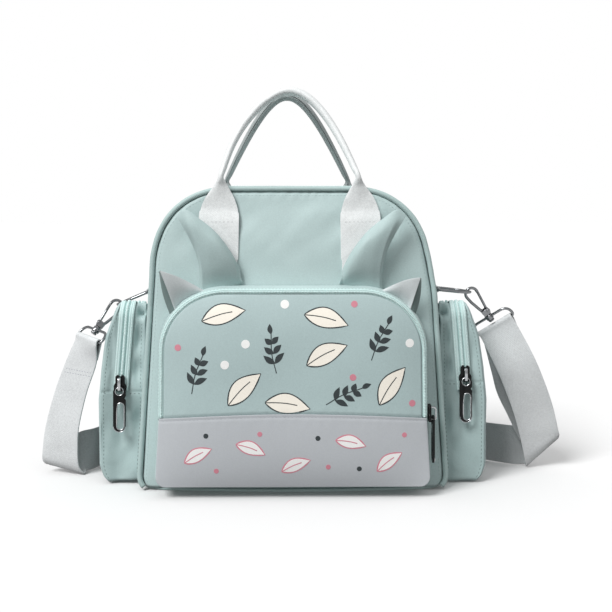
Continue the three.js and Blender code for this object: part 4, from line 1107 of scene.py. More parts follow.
def makeEar(name, sign, node):
    e = ears
    tipX, tipZ = e["flapTip"][sign]

    def leafPlace(u, t):
        p = earPoint(e["leaf"], e["bow"], u, t)
        y = p.y - e["belly"] * halfWave(u) * halfWave(clamp(0.1 + t * 0.9))
        y += e["waver"] * ripple(p.x * sign, p.y, p.z, 21, 20 + sign) * halfWave(u)
        y -= e["forward"] * ease(-0.15, 0.75, t) * ease(1.3, 0.75, t) * ease(-0.1, 0.45, u)
        y += e["foot"] * hump(t, 0.22)
        y += e["rimWaver"] * ripple(p.x * 0.3, 0, p.z, 11, 24 + sign) * ease(0.75, 1.0, u)
        y += e["hem"] * hump(u - 0.07, 0.03)
        y += e["rimBack"] * ease(0.86, 1.0, u) * halfWave(clamp(t * 1.05))
        return sign * (p.x + e["aside"][sign]), y, p.z

    def flapPlace(u, t):
        p = earPoint(e["flap"], 0, u, t)
        y = p.y - e["flapBelly"] * halfWave(t) * halfWave(clamp(0.2 + 0.7 * u))
        y += 0.5 * ripple(p.x, p.y, p.z, 14, 22 + sign)
        return sign * (p.x + tipX * t * u), y, p.z + tipZ * t * u

    def foldPlace(u, t):
        p = earPoint(e["fold"], 0, u, t)
        belly = e["foldBelly"] * halfWave(t)
        return sign * (p.x + belly * u + tipX * t), p.y + belly * (1 - u), p.z + tipZ * t

    thick = e["thick"]
    leaf = clothGrid(name + "Leaf", 44, 44, leafPlace, (52, 66), thick["leaf"], facingFront, bevel=0.6)
    give(leaf, paintedShadeEarMint)
    flap = clothGrid(
        name + "Flap", 30, 16, flapPlace, (40, 20), thick["flap"], facingFront, bevel=0.4,
        lined=(earLining, paintedShadeEarMint),
    )
    fold = clothGrid(name + "Fold", 10, 16, foldPlace, (10, 30), thick["fold"], facingFront, bevel=0.3)
    # the fold strip is painted in shade
    obj = joined(name, [leaf, flap, give(fold, paintedShadeFoldMint)])
    finishPiece(obj, "mint_cloth", [node])
    row = [Vector(leafPlace(0.035, i / 40)) for i in range(41)]
    stitchAlong(name + "Stitches", row, frontWays, 2.2, 1.3, 0.36)
    sewRows(name + "Stitches", mintThreadAndHoleShade, "mint_cloth")


makeEar("earLeft", -1, "ear_left")
makeEar("earRight", 1, "ear_right")
print("ears made")


# Handles: one length of webbing each, flat on the panel, gathered at the neck, rolled over the arch;
# sizes are width and depth, and values by side are for the front (-1) and the back (1)
handles = dict(
    x=71, aside={-1: -3.3, 1: -6.5}, leftBow={-1: 4.5, 1: 0}, top={-1: 405, 1: 403},
    crownBend={-1: 260, 1: 40}, neckX=68.9, neckY={-1: -68, 1: 70}, neckZ=313, meetY=14, web=1.5, gap=0.5,
    overPiping=285, count=260,
    tab=[  # height, width, depth
        (207, 36.5, 1.8), (240, 37.8, 1.8), (268, 38.5, 1.9), (281, 37, 2.4), (292, 29, 3.2),
        (300, 19.5, 4.4), (306, 12, 5.8),
    ],
    neck=(5.5, 8), crown=(9.5, 17), archSteps=18, rollWide=(38, 8.5), roll=0.96, sewnZ=(268, 216),
    sewnHalf=16,
)


def crownFall(x, face):
    bow = handles["crownBend"][face]
    return math.hypot(x, bow) - bow


# Where a handle's tab lies: on the panel, and higher up on the piping or the back edge
def tabSeat(z, face):
    if face < 0:
        lying, edge = panelFront(handles["x"], z), frontEdge(z) - body["piping"]
    else:
        lying = body["back"] + 2.4 * puff(handles["x"] / bodyHalf(z), 2 * z / body["top"] - 1)
        edge = body["back"]
    return face * max(face * lying, face * edge) if z > handles["overPiping"] else lying


def handleStations(face):
    h = handles
    neckX, neckZ, top = h["neckX"], h["neckZ"], h["top"][face]
    spots = []
    for z, wide, deep in h["tab"]:
        x = mix(h["x"], neckX, ease(265, neckZ, z))
        spots.append((Vector((x, tabSeat(z, face) + face * (h["gap"] + deep / 2), z)), wide, deep))
    for i in range(h["archSteps"] + 1):
        t = i / h["archSteps"]
        x = neckX * (1 - t)
        rise = 1 - crownFall(x, face) / crownFall(neckX, face)
        y = mix(h["neckY"][face], face * h["meetY"], rise ** 0.9)
        wide, deep = (mix(low, high, math.sqrt(t)) for low, high in zip(h["neck"], h["crown"]))
        spots.append((Vector((x, y, mix(neckZ, top, rise))), wide, deep))
    left = []
    for p, wide, deep in reversed(spots[:-1]):
        bow = h["leftBow"][face] * halfWave(clamp((p.z - neckZ) / (top - neckZ)))
        left.append((Vector((-p.x - bow, p.y, p.z)), wide, deep))
    return spots + left


def makeHandle(name, face, node):
    spots = handleStations(face)
    aside = Vector((handles["aside"][face], 0, 0))
    centres = curveThrough([p + aside for p, wide, deep in spots], 8)
    sizes = curveThrough([Vector((wide, deep)) for p, wide, deep in spots], 8)
    count, total = handles["count"], lengthsAlong(centres)[-1]
    line = evenly(centres, count)
    dims = evenly(centres, count, values=sizes)

    def place(u, v):
        i = int(round(v * (count - 1)))
        p, size = line[i], dims[i]
        along = heading(line, i)
        through = (Vector((0, 1, 0)) - along * along.y).normalized()
        s = 2 * u - 1
        roll = ease(*handles["rollWide"], size.x) * handles["roll"]
        turn = max(roll, 0.001) * math.pi * s
        a = size.x / 2 * math.sin(turn) / max(math.sin(min(roll * math.pi, math.pi / 2)), 0.003)
        b = size.y * (1 - math.cos(turn)) / 2
        b += 0.35 * ripple(p.x, p.y, p.z + s * 20, 10, 30 + face) * (1 - roll)
        crease = 0.3 * ripple(p.x * 0.4, s * 30, p.z * 0.4, 5, 33) * roll
        return p + along.cross(through) * a + through * face * (size.y / 2 - b + crease)

    def facing(centre):
        out = Vector((0, face, 0))
        return out if centre.z < 290 else centre - at(line, 0.5) + out * 60 + Vector((0, 0, 60))

    # the back handle is painted in shade on both faces
    lined = (handleWebbing, webbingInsideGreyAndShade) if face < 0 else (paintedShadeWebbing, paintedShadeWebbing)
    obj = clothGrid(name, 28, count - 1, place, (40, total), handles["web"], facing, bevel=0.35, lined=lined)
    finishPiece(obj, "webbing", [node])
    for sign in (-1, 1):
        middle = sign * handles["x"] + aside.x
        for z in handles["sewnZ"]:
            v = 0.5 - sign * (0.5 - abs(z - handles["tab"][0][0]) / total)
            i = int(round(clamp(v) * (count - 1)))
            y = line[i].y + face * dims[i].y / 2
            half = handles["sewnHalf"]
            row = [Vector((mix(middle - half, middle + half, k / 12), y, z)) for k in range(13)]
            stitchAlong(name + "Stitches", row, [Vector((0, face, 0))] * 2, 2.6, 1.2, 0.42)
    sewRows(name + "Stitches", webThread, "webbing")


makeHandle("handleFront", -1, "handle_front")
makeHandle("handleBack", 1, "handle_back")
print("handles made")


# Side pockets, worked out on the right-hand side and mirrored
sidePocket = dict(
    halfY=46, low=1, top=187, topRadius=18, footRadius=5, sag=9, sagHalf=36, sagFrom=150, backDrop=7,
    cloth=1.4, zipLow=95, zipX=(176, 169), tape=0.6, tapeHalf=7.6, tapeSeam=6.4, coil=(1.45, 2.5, 1.4, 1.15),
    edge=[  # height, and how far out the face's edge stands
        (0, 190), (8, 196), (18, 199.5), (85, 200.5), (118, 197.5), (150, 193), (176, 184), (200, 176),
    ],
    dents=[  # x, z, half width, half height, depth
        (155, 177, 5.5, 6.5, 11.5), (158, 148, 5, 13, 5.5), (159, 117, 5, 11, 5.0), (166, 36, 9, 13, 3.25),
        (157, 66, 6, 15, 4.25), (177, 60, 7, 17, 3.5), (184, 128, 4, 24, 2.5),
    ],
    fold=4.6, crease=1.0, seamDip=0.9, zipBed=1.6, faceRows=90, faceRound=4.4, faceHollow=4.6, topHollow=8,
    faceSeam=0.7, edgeSeams=(0.93, 0.10), crossSeams=((0.1, 0.38), (0.88, 0.95)),
    seamZ={-1: 94, 1: 103},
)
sideMiddle = Vector((0, 95))


def sideSag(y, z):
    s = sidePocket
    reach = max(0, 1 - (y / s["sagHalf"]) ** 2)
    near = max(0, (z - s["sagFrom"]) / (s["top"] - s["sagFrom"]))
    return (s["sag"] * reach + s["backDrop"] * ease(-4, 32, y)) * near


def sideLoop(inset, count):
    s = sidePocket
    foot, crown = max(s["footRadius"] - inset, 2), max(s["topRadius"] - inset, 2)
    reach, top = s["halfY"] - inset, s["top"] - inset
    half = oval((reach - foot, s["low"] + inset + foot), (foot, -foot), math.pi / 2, 0, 20)
    half += oval((reach - crown, top - crown), (crown, crown), 0, math.pi / 2, 16)
    over = [Vector((mix(crown - reach, reach - crown, i / 20), top)) for i in range(1, 20)]
    loop = [Vector((-p.x, p.y)) for p in half] + over + half[::-1]
    return evenly([Vector((p.x, p.y - sideSag(p.x, p.y))) for p in loop], count, True)


def sideEdge(z):
    return lookUp(sidePocket["edge"], z)


def zipCentre(z):
    return mix(*sidePocket["zipX"], (z - sidePocket["zipLow"]) / (sidePocket["top"] - sidePocket["zipLow"]))


def sideHalf(z):
    s = sidePocket
    for radius, past in (
        (s["footRadius"], s["low"] + s["footRadius"] - z), (s["topRadius"], z - s["top"] + s["topRadius"]),
    ):
        if past > 0:
            return s["halfY"] - radius + math.sqrt(max(0, radius ** 2 - past ** 2))
    return s["halfY"]


# A spot on the standing wall: p is its place on the loop as y and z, n the outward way there
def wallSpot(sign, p, n, u):
    s = sidePocket
    x = mix(max(bodyHalf(p.y) - 0.6, 151.6), sideEdge(p.y) - 3.4, u)
    zipNear = ease(12, 8.4, abs(x - zipCentre(p.y))) * ease(s["zipLow"] - 6, s["zipLow"], p.y)
    free = halfWave(u) ** 0.6 * (1 - 0.97 * ease(0.0, 0.35, n.y))
    sink = s["fold"] * max(0, ripple(x * 1.5 + p.y * 0.5, p.x, p.y * 0.8, 30, 40 + sign) + 0.1) * free
    sink += s["crease"] * max(0, ripple(x + p.y * 0.4, p.x, p.y * 0.7, 12, 43 + sign)) * free
    dips = s["seamDip"] * hump(p.y - s["seamZ"][sign], 1.2)
    for dentX, dentZ, wide, tall, deep in s["dents"]:
        dips += deep * hump(x - dentX, wide) * hump(p.y - dentZ, tall)
    sink = (sink + dips * ease(-20, -44, p.x)) * (1 - zipNear) + s["zipBed"] * zipNear
    return Vector((sign * x, p.x - n.x * sink, p.y - n.y * sink))


def faceSpot(sign, y, z):
    s = sidePocket
    d = max(0, min(sideHalf(z) - abs(y), z - s["low"], s["top"] - z))
    x = sideEdge(z) - 4 + s["faceRound"] * (1 - math.exp(-((d / 4.5) ** 0.85)))
    x -= s["faceHollow"] * ease(11, 32, d) + s["topHollow"] * hump(y, 20) * hump(z - 168, 26)
    x += (1.7 * ripple(0, y, z, 44, 46 + sign) + 0.8 * ripple(0, y, z, 19, 47 + sign)) * ease(2, 22, d)
    x -= s["faceSeam"] * hump(d - 5, 1.2)
    return Vector((sign * x, y, z - sideSag(y, z)))


def awayAround(centre):
    return Vector((0, centre.y, centre.z - sideMiddle.y))


def makeSidePocket(name, sign, node):
    s = sidePocket
    loop, ways = closedRun(sideLoop(0, 360), sideMiddle)

    def wallPlace(u, v):
        return wallSpot(sign, at(loop, v), at(ways, v), u)

    obj = clothGrid(name + "Wall", 30, 360, wallPlace, (40, 520), s["cloth"], awayAround, weld=True)
    finishPiece(give(obj, paintedShadeSideMint), "mint_cloth", [node])

    def facePlace(u, v):
        t = round(v * s["faceRows"]) / s["faceRows"]
        z = s["low"] + (s["top"] - s["low"]) * (1 - math.cos(math.pi * t)) / 2
        return faceSpot(sign, (2 * u - 1) * sideHalf(z), z)

    out = facingWay(sign, 0, 0)
    obj = clothGrid(name + "Face", 64, s["faceRows"], facePlace, (92, 181), s["cloth"], out)
    finishPiece(give(obj, paintedShadeSideMint), "mint_cloth", [node])

    # sewing: round the face, along both edges of the wall, and across the front below the zip
    row = []
    inner = sideLoop(5, 300)
    for p in inner + inner[:1]:
        spot = faceSpot(sign, p.x, p.y + sideSag(p.x, p.y))
        row.append(Vector((spot.x, p.x, p.y)))
    stitchAlong(name + "Stitches", row, [Vector((sign, 0, 0))] * 2, 2.5, 1.3, 0.4)
    for u in s["edgeSeams"]:
        row = [wallSpot(sign, p, n, u) for p, n in zip(loop, ways)]
        stitchAlong(name + "Stitches", row, [Vector((0, n.x, n.y)) for n in ways], 2.5, 1.5, 0.38)
    level = Vector((-s["halfY"], s["seamZ"][sign] - 1.8))
    for u0, u1 in s["crossSeams"]:
        row = [wallSpot(sign, level, Vector((-1, 0)), mix(u0, u1, i / 8)) for i in range(9)]
        stitchAlong(name + "Stitches", row, frontWays, 2.4, 1.2, 0.38)
    sewRows(name + "Stitches", holeShadeThread, "mint_cloth")


# Zip over the top of a side pocket: two strips with the coil between them
def makeSideZip(name, sign, node):
    s = sidePocket
    run = evenly([p for p in sideLoop(-0.5, 720) if p.y > s["zipLow"]], 300)
    outs = outwardOf(run, sideMiddle)
    ways = [Vector((0, n.x, n.y)) for n in outs]

    def spot(p, n, aside, lift):
        return Vector((sign * (zipCentre(p.y) + aside), p.x + n.x * lift, p.y + n.y * lift))

    def place(u, v):
        c = (2 * u - 1) * s["tapeHalf"]
        lift = 0.35 + 0.75 * ease(7.4, 5.6, abs(c))
        lift -= 2.3 * hump(abs(c) - 2.1, 0.75) + 0.5 * hump(abs(c) - 5.2, 0.5)
        return spot(at(run, v), at(outs, v), c, lift)

    obj = clothGrid(name + "Tape", 44, 260, place, (15.2, 270), s["tape"], awayAround)
    line = [spot(p, n, 0, 0.9) for p, n in zip(run, outs)]
    makeZip(name + "Zip", obj, line, ways, node, *s["coil"])
    for aside in (-s["tapeSeam"], s["tapeSeam"]):
        row = [spot(p, n, aside, 0.85) for p, n in zip(run, outs)]
        stitchAlong(name + "ZipStitches", row, ways, 2.2, 1.2, 0.34)
    sewRows(name + "ZipStitches", paleThread, "zip_tape")


for word, sign in (("left", -1), ("right", 1)):
    makeSidePocket("sidePocket" + word.capitalize(), sign, "side_pocket_" + word)
    makeSideZip("sidePocket" + word.capitalize(), sign, "side_zip_" + word)
print("side pockets made")


# Zip sliders and pulls, in their own frame: a across, b up, c outward, pull bar at the origin
slider = dict(
    plateTop=11.5, plateLow=-5, plateBack=-5, plateFront=-2.2, plateBevel=0.55, neckHalf=4.6, footHalf=6.4,
    bailHalf=1.5, bailTop=9.4, bailLow=-3.6, bailWall=1.4, bailOut=3.3, bailBevel=0.4,
    sideX=176, sideY=-53.5, sideZ=dict(left=100.5, right=109.5), onPocket=(137.4, -91, 78),
)
pull = dict(
    half=6.4, top=0.9, low=-46, thick=2, bevel=0.42, ringZ=-4.4, ring=3.5, slotHalf=3.8, slotShift=1.1,
    slotTop=-16, slotLow=-43.4, notchZ=-11.6, notch=1.7, rim=0.5, lowRim=0.42,
)


def arc(cx, cz, radius, start, end, steps):
    return oval((cx, cz), (radius, radius), start, end, steps)


def ringOf(cx, cz, radius, steps):
    return arc(cx, cz, radius, 0, 2 * math.pi, steps)[:-1]


def makeSlider(name, stand, node):
    s = slider
    low, top, foot, neck = s["plateLow"], s["plateTop"], s["footHalf"], s["neckHalf"]
    half = [
        (foot - 1, low), (foot, low + 1), (foot, low + 5.4), (foot - 0.5, low + 6.6), (neck, low + 8.6),
        (neck, top - 1.6), (neck - 1.6, top), (1.4, top), (1.0, top - 1.4),
    ]
    outline = [(-half[0][0], low)] + half + [(-a, b) for a, b in half[:0:-1]]
    front, back = s["plateFront"], s["plateBack"]
    plate = outlinePlate(name + "Plate", [outline], front - back, s["plateBevel"], stand, (front + back) / 2)
    wall, out, a0, a1, root = s["bailWall"], s["bailOut"], s["bailLow"], s["bailTop"], back + 1
    shell = [
        (a0, root), (a0, out - 1.2), (a0 + 0.4, out - 0.35), (a0 + 1.2, out), (a1 - 2.4, out),
        (a1 - 1, out - 0.6), (a1 - 0.2, out - 1.7), (a1, out - 2.6), (a1, root),
    ]
    eye = [
        (a0 + wall, front - 0.2), (a0 + wall, out - wall), (a1 - wall - 1.4, out - wall),
        (a1 - wall, out - wall - 1.6), (a1 - wall, front - 0.2),
    ]
    edgeOn = Matrix(((0, 0, 1, 0), (1, 0, 0, 0), (0, 1, 0, 0), (0, 0, 0, 1)))
    bail = outlinePlate(name + "Bail", [shell, eye], 2 * s["bailHalf"], s["bailBevel"], stand @ edgeOn)
    obj = joined(name, [give(plate, blackMetal), give(bail, silver)])
    finishPiece(obj, "black_metal", [node], angle=45)


def makePull(name, stand, node, carrier):
    p, pi = pull, math.pi
    half, slotHalf, shift = p["half"], p["slotHalf"], p["slotShift"]
    slotTop, slotLow, footZ = p["slotTop"] - slotHalf, p["slotLow"] + slotHalf, p["low"] + half
    outline = arc(0, p["top"] - half, half, 0, pi, 28) + arc(0, footZ, half, pi, 2 * pi, 28)
    outline += arc(half + 0.5, p["notchZ"], p["notch"], 1.5 * pi - 0.3, 0.5 * pi + 0.3, 12)
    slot = arc(shift, slotTop, slotHalf, 0.05, pi - 0.75, 14) + [Vector((shift - slotHalf, slotTop - 5.5))]
    slot += arc(shift, slotLow, slotHalf, pi, 2 * pi, 20)
    ring = ringOf(0, p["ringZ"], p["ring"], 32)
    plate = outlinePlate(name + "Plate", [outline, ring, slot], p["thick"], p["bevel"], stand)
    parts = [give(plate, blackMetal)]
    for key, loop, wire, closed in (
        ("Ring", ringOf(0, p["ringZ"], p["ring"] + 0.55, 40), p["rim"], True),
        ("Slot", slot, p["rim"], True),
        ("Low", arc(0, footZ, half - 0.35, pi * 1.02, pi * 1.98, 30), p["lowRim"], False),
    ):
        lift = p["thick"] / 2 - 0.12
        line = [(stand @ (Vector((a, b, lift)) * mm)) / mm for a, b in evenly(loop, 60, closed)]
        parts.append(give(tube(name + key, line, wire, closed, 8), silver))
    finishPiece(joined(name, parts), "black_metal", [node], carrier, 45)


def makeZipPulls():
    for word, sign in (("left", -1), ("right", 1)):
        spot = (sign * slider["sideX"], slider["sideY"], slider["sideZ"][word])
        stand = standIn(spot, (1, 0, 0), (0, 0, 1), (0, -1, 0))
        makeSlider("sideSlider" + word.capitalize(), stand, "side_slider_" + word)
        makePull("sidePull" + word.capitalize(), stand, "side_pull_" + word, word + "_zip_pull")
    stand = standIn(slider["onPocket"], (0, 1, 0), (0, 0, 1), (1, 0, 0))
    makeSlider("pocketSlider", stand, "pocket_slider")
    makePull("pocketPull", stand, "pocket_pull", "front_zip_pull")


makeZipPulls()
print("zip pulls made")


# Clip hardware: ring, snap hook, gate and strap loop on each side
clips = dict(
    barX=152,
    ring=dict(half=18, deep=38, straight=16, wire=1.5),
    tab=dict(half=13, radius=2.75, top=210, web=1.5),
    hook=dict(
        bow=6.4, wire=1.6, tip=9, shaft=[(-1.4, 33), (-3.4, 26), (-5.8, 14)], pinOut=2.6, pinDown=32, pin=1.1,
        pinHalf=2.4, cheekIn=2.1, cheekOut=3.3, rivet=1.5, rivetIn=1.6, rivetOut=4.0,
        shank=2, shankTop=35.4, shankLow=43, head=3.4, headLow=45,
        cheek=[
            (-4, 29.9), (-3.5, 29.2), (3.2, 29.0), (4.8, 30.2), (5.4, 32), (4.6, 34.4), (3.4, 36),
            (-3.4, 36), (-4, 34.6),
        ],
        foot=[(-4, 29.5), (-1.2, 29.5), (-0.6, 34.8), (3.4, 34.8), (3.4, 36), (-3.4, 36), (-4, 35)],
    ),
    gate=dict(eye=2.5, hole=1.5, thick=3.4, bar=1.4),
    loop=dict(
        half=23.2, down=39.5, bar=52, wire=1.5, topRadius=8, lowRadius=3, collarIn=2.4, collarOut=4.2,
        collarHalf=2.9,
    ),
    left=dict(sign=-1, ringZ=194, droop=23, hook=(0.58, -0.42, -0.735), bar=(0.66, 0.74, 0.1)),
    right=dict(sign=1, ringZ=196, droop=6, hook=(0.61, 0.2, -0.76), bar=(0.82, -0.35, 0.566)),
)


class ClipFrame:
    def __init__(self, row):
        ring, hook = clips["ring"], clips["hook"]
        drop = math.radians(row["droop"])
        self.sign = row["sign"]
        self.bar = Vector((self.sign * clips["barX"], 0, row["ringZ"]))
        self.ringOut = Vector((self.sign * math.cos(drop), 0, -math.sin(drop)))
        self.down = Vector((self.sign * row["hook"][0], *row["hook"][1:])).normalized()
        self.out = Vector((-self.sign * self.down.z, 0, self.sign * self.down.x)).normalized()
        self.through = self.out.cross(self.down)
        steep = math.hypot(self.down.x, self.down.z)
        end = self.bar + self.ringOut * ring["deep"]
        self.apex = end - self.down * ((ring["wire"] + hook["wire"] + 0.6) / steep)
        across = Vector((self.sign * row["bar"][0], *row["bar"][1:]))
        self.across = (across - self.down * across.dot(self.down)).normalized()
        self.stand = standIn(self.apex, self.out, self.down, self.through)

    def point(self, out, down, aside=0):
        return self.apex + self.out * out + self.down * down + self.through * aside


def makeRing(word, clip):
    ring = clips["ring"]
    half, straight = ring["half"], ring["straight"]
    side = [(0, half - 3), (0.8, half - 0.9), (3, half), (straight, half)]
    marks = [(0, 3 - half)] + side
    for i in range(1, 24):
        turn = i / 24 * math.pi
        marks.append((straight + (ring["deep"] - straight) * math.sin(turn), half * math.cos(turn)))
    marks += [(deep, -y) for deep, y in side[:0:-1]]
    run = [clip.bar + clip.ringOut * deep + Vector((0, y, 0)) for deep, y in marks]
    obj = tube("dRing" + word.capitalize(), evenly(run, 120, True), ring["wire"], True)
    finishPiece(give(obj, gunmetal), "gunmetal", ["d_ring_" + word])


def makeRingTab(word, clip):
    tab, z = clips["tab"], clip.bar.z
    path = [Vector((bodyHalf(tab["top"]) + 0.3, tab["top"])), Vector((bodyHalf(z + 9) + 0.5, z + 9))]
    path += arc(clips["barX"], z, tab["radius"], math.radians(100), math.radians(-112), 12)
    path.append(Vector((bodyHalf(z - 2) - 0.2, z - 2.2)))
    line = evenly(curveThrough(path, 5), 60)
    long = lengthsAlong(line)[-1]

    def place(u, v):
        p = line[int(round(v * 59))]
        return clip.sign * p.x, (2 * u - 1) * tab["half"], p.y

    def facing(centre):
        return Vector((clip.sign * 0.6, 0, 0)) if centre.z > z else Vector((0, 0, -1))

    name = "ringTab" + word.capitalize()
    obj = clothGrid(name, 12, 59, place, (26, long), tab["web"], facing, offset=0, bevel=0.35)
    finishPiece(give(obj, webbing), "webbing", ["ring_tab_" + word])


def makeHook(word, clip):
    h, title = clips["hook"], word.capitalize()
    bow, pin, point = h["bow"], (h["pinOut"], h["pinDown"]), clip.point
    run = [point(*spot) for spot in h["shaft"]]
    run += [point(p.x, p.y) for p in oval((0, bow), (bow, -bow), math.pi, 0, 24)]
    run.append(point(bow - 0.1, h["tip"]))
    parts = [tube("hookWire" + title, evenly(run, 70), h["wire"])]
    thick, middle = h["cheekOut"] - h["cheekIn"], (h["cheekIn"] + h["cheekOut"]) / 2
    for side in (-1, 1):
        parts.append(outlinePlate("hookCheek" + title, [h["cheek"]], thick, 0.35, clip.stand, side * middle))
        ends = point(*pin, side * h["rivetIn"]), point(*pin, side * h["rivetOut"])
        parts.append(roundBar("hookRivet" + title, *ends, h["rivet"], 18, 0.5))
    parts.append(outlinePlate("hookFoot" + title, [h["foot"]], 2 * h["cheekIn"] + 0.4, 0.2, clip.stand))
    reach = h["pinHalf"] * clip.sign
    for key, start, end, radius, sides, bevel in (
        ("Pin", point(*pin, -reach), point(*pin, reach), h["pin"], 14, 0.1),
        ("Shank", point(0, h["shankTop"]), point(0, h["shankLow"] + 0.5), h["shank"], 20, 0.2),
        ("Head", point(0, h["shankLow"]), point(0, h["headLow"]), h["head"], 24, 0.7),
    ):
        parts.append(roundBar("hook" + key + title, start, end, radius, sides, bevel))
    obj = joined("hook" + title, parts)
    finishPiece(give(obj, gunmetal), "gunmetal", ["hook_" + word], word + "_hook", 45)


def makeGate(word, clip):
    h, g, title = clips["hook"], clips["gate"], word.capitalize()
    pinOut, pinDown = h["pinOut"], h["pinDown"]
    eye = [ringOf(pinOut, pinDown, g["eye"], 24), ringOf(pinOut, pinDown, g["hole"], 20)]
    plate = outlinePlate("gateEye" + title, eye, g["thick"], 0.3, clip.stand)
    tip, root = clip.point(h["bow"] - 0.15, h["tip"] + 0.4), clip.point(pinOut + 0.36, pinDown - 2.1)
    obj = joined("hookGate" + title, [plate, roundBar("gateBar" + title, tip, root, g["bar"], 16, 0.3)])
    finishPiece(give(obj, gunmetal), "gunmetal", ["hook_gate_" + word], word + "_gate", 45)


def makeLoop(word, clip):
    p, pi, title = clips["loop"], math.pi, word.capitalize()
    down = p["down"]
    topA, topD = p["half"] - p["topRadius"], down + p["topRadius"]
    lowA, lowD = p["half"] - p["lowRadius"], p["bar"] - p["lowRadius"]
    top, low = (p["topRadius"], -p["topRadius"]), (p["lowRadius"], -p["lowRadius"])
    marks = [(p["collarIn"] + 1, down)]
    for middle, reach, start, end in (
        ((topA, topD), top, 0.5 * pi, 0), ((lowA, lowD), low, 0, -0.5 * pi),
        ((-lowA, lowD), low, -0.5 * pi, -pi), ((-topA, topD), top, pi, 0.5 * pi),
    ):
        marks += oval(middle, reach, start, end, 8)
    marks.append((-p["collarIn"] - 1, down))
    run = [clip.point(0, d) + clip.across * a for a, d in marks]
    wire = tube("loopWire" + title, evenly(run, 140), p["wire"])
    rings = [ringOf(0, 0, p["collarOut"], 32), ringOf(0, 0, p["collarIn"], 24)]
    stand = standIn(clip.point(0, down), clip.across, clip.across.cross(clip.down), -clip.down)
    collar = outlinePlate("loopCollar" + title, rings, 2 * p["collarHalf"], 0.6, stand)
    obj = joined("strapLoop" + title, [wire, collar])
    finishPiece(give(obj, gunmetal), "gunmetal", ["strap_loop_" + word], angle=45)


clipFrames = {word: ClipFrame(clips[word]) for word in ("left", "right")}
for word, clip in clipFrames.items():
    for make in (makeRing, makeRingTab, makeHook, makeGate, makeLoop):
        make(word, clip)
print("clips made")


# Shoulder strap: both edges from each bar to the fold on the floor and on behind the bag;
# each row is the inner edge, then the outer edge
strap = dict(
    wide=41.5, web=1.6, wrap=2.9, below=4, ahead=2.5, sewnZ=111,
    # turned-back layers: how far inward and behind they lie
    under=dict(left=[(0, 3.4)], right=[(6, 6), (9, 8), (6, 8), (0.5, 5)]),
    left=[
        ((-203.9, -28, 122.7), (-238.0, -5, 126.4)), ((-216.3, -20, 87.1), (-253.1, 0, 88.2)),
        ((-225.3, -16, 49.6), (-264.0, 1, 47.6)), ((-226.6, -14.5, 30.9), (-266.4, 0, 27.5)),
        ((-225.4, -13, 9.4), (-267, 1, 13.3)), ((-220.5, -9.5, 1.4), (-263.5, 5, 8.6)),
        ((-219.5, -4.5, 3.6), (-260, 9.5, 15)), ((-218.5, 0, 2.4), (-247, 14, 30.5)),
        ((-216.5, 5.5, 1.6), (-231, 17.5, 39.5)), ((-213, 16, 1.1), (-217.5, 23, 42)),
        ((-208, 38, 1), (-208, 39, 42.5)), ((-190, 65, 1), (-190, 65, 42.5)),
        ((-130, 84, 1), (-130, 84, 42.5)), ((-50, 88, 1), (-50, 88, 42.5)),
    ],
    right=[
        ((221.0, 5, 104.5), (257.5, -2, 124.4)), ((230.4, 5, 81.6), (268.8, 1, 99.3)),
        ((239, 6, 57.5), (280.3, 6, 68.6)), ((246.7, 9, 30), (287.4, 9, 40.5)),
        ((251.5, 11, 9), (288.6, 10.5, 36.5)), ((253.6, 14.5, 1.6), (287.4, 14.5, 31.4)),
        ((252, 18.5, 3.2), (282.5, 19, 33.5)), ((249.5, 21.5, 1.9), (268.5, 22.5, 40.8)),
        ((240, 26, 1.2), (248, 27, 42.3)), ((214, 46, 1), (216, 46, 42.5)),
        ((184, 68, 1), (184, 68, 42.5)), ((130, 84, 1), (130, 84, 42.5)),
        ((50, 88, 1), (50, 88, 42.5)),
    ],
)


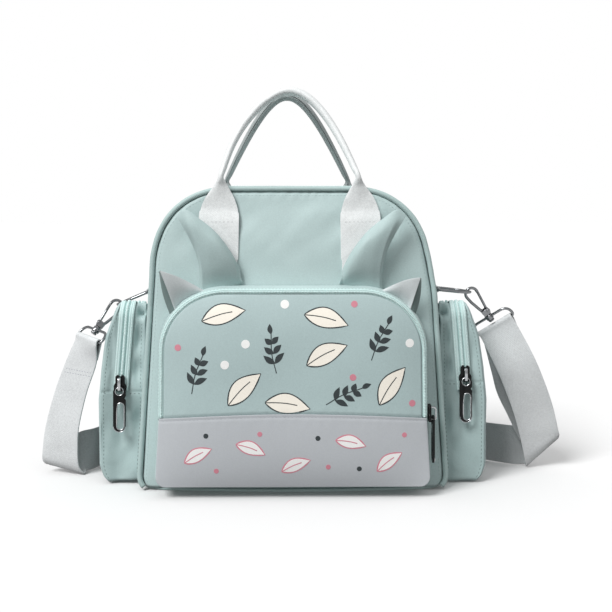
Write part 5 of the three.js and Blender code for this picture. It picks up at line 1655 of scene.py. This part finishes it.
# One half of the strap: the turned-back end, the wrap round the bar, then the rows
def strapHalf(word):
    clip, wrap = clipFrames[word], strap["wrap"]
    rows = [(Vector(inner), Vector(outer)) for inner, outer in strap[word]]
    bar = clip.point(0, clips["loop"]["bar"])
    hang = (rows[1][0] + rows[1][1]) / 2 - bar
    hang = (hang - clip.across * hang.dot(clip.across)).normalized()
    front = hang.cross(clip.across)
    if front.y > 0:
        front = -front
    half = clip.across * (strap["wide"] / 2)
    tail = []
    for (inward, behind), (inner, outer) in reversed(list(zip(strap["under"][word], rows))):
        shift = Vector((-clip.sign * inward, behind, 0))
        tail.append((inner + shift, outer + shift))
    around = oval((0, 0), (wrap, -wrap), math.pi, 0, 12)
    below = strap["below"]
    for forward, low in [(-wrap, below), *around, (strap["ahead"], below)]:
        p = bar + front * forward + hang * low
        tail.append((p - half, p + half))
    return tail, rows


def makeStrap():
    leftTail, left = strapHalf("left")
    rightTail, right = strapHalf("right")
    run = leftTail + left + (rightTail + right)[::-1]
    innerEdge = curveThrough([inner for inner, outer in run], 10)
    outerEdge = curveThrough([outer for inner, outer in run], 10)
    line = [(a + b) / 2 for a, b in zip(innerEdge, outerEdge)]
    lengths = lengthsAlong(line)
    total, count = lengths[-1], len(line)

    def outward(i):
        return heading(line, i).cross(outerEdge[i] - innerEdge[i]).normalized()

    def place(u, v):
        i = int(round(v * (count - 1)))
        wave = 0.25 * ripple(lengths[i], u * 28, 0, 60, 60)
        wave *= ease(40, 90, lengths[i]) * ease(total - 150, total - 260, lengths[i])
        return innerEdge[i] + (outerEdge[i] - innerEdge[i]) * u + outward(i) * wave

    obj = clothGrid(
        "shoulderStrap", 16, count - 1, place, (strap["wide"], total), strap["web"], awayFrom(0, 0, 60),
        offset=0, bevel=0.4, lined=(webbing, webbingInsideGreyAndShade),
    )
    finishPiece(obj, "webbing", ["shoulder_strap"])
    print("strap length", round(total), "mm")
    start = 10 * len(leftTail)
    sewn = min(range(start, start + 20), key=lambda i: abs(line[i].z - strap["sewnZ"]))
    for i in (sewn, sewn + 1):
        out = outward(i)
        out = -out if out.y > 0 else out
        row = [place(mix(0.06, 0.94, k / 14), i / (count - 1)) + out * (strap["web"] / 2) for k in range(15)]
        stitchAlong("strapStitches", row, [out] * 2, 2.4, 1.2, 0.42)
    sewRows("strapStitches", greyThread, "webbing")


makeStrap()
print("strap made")
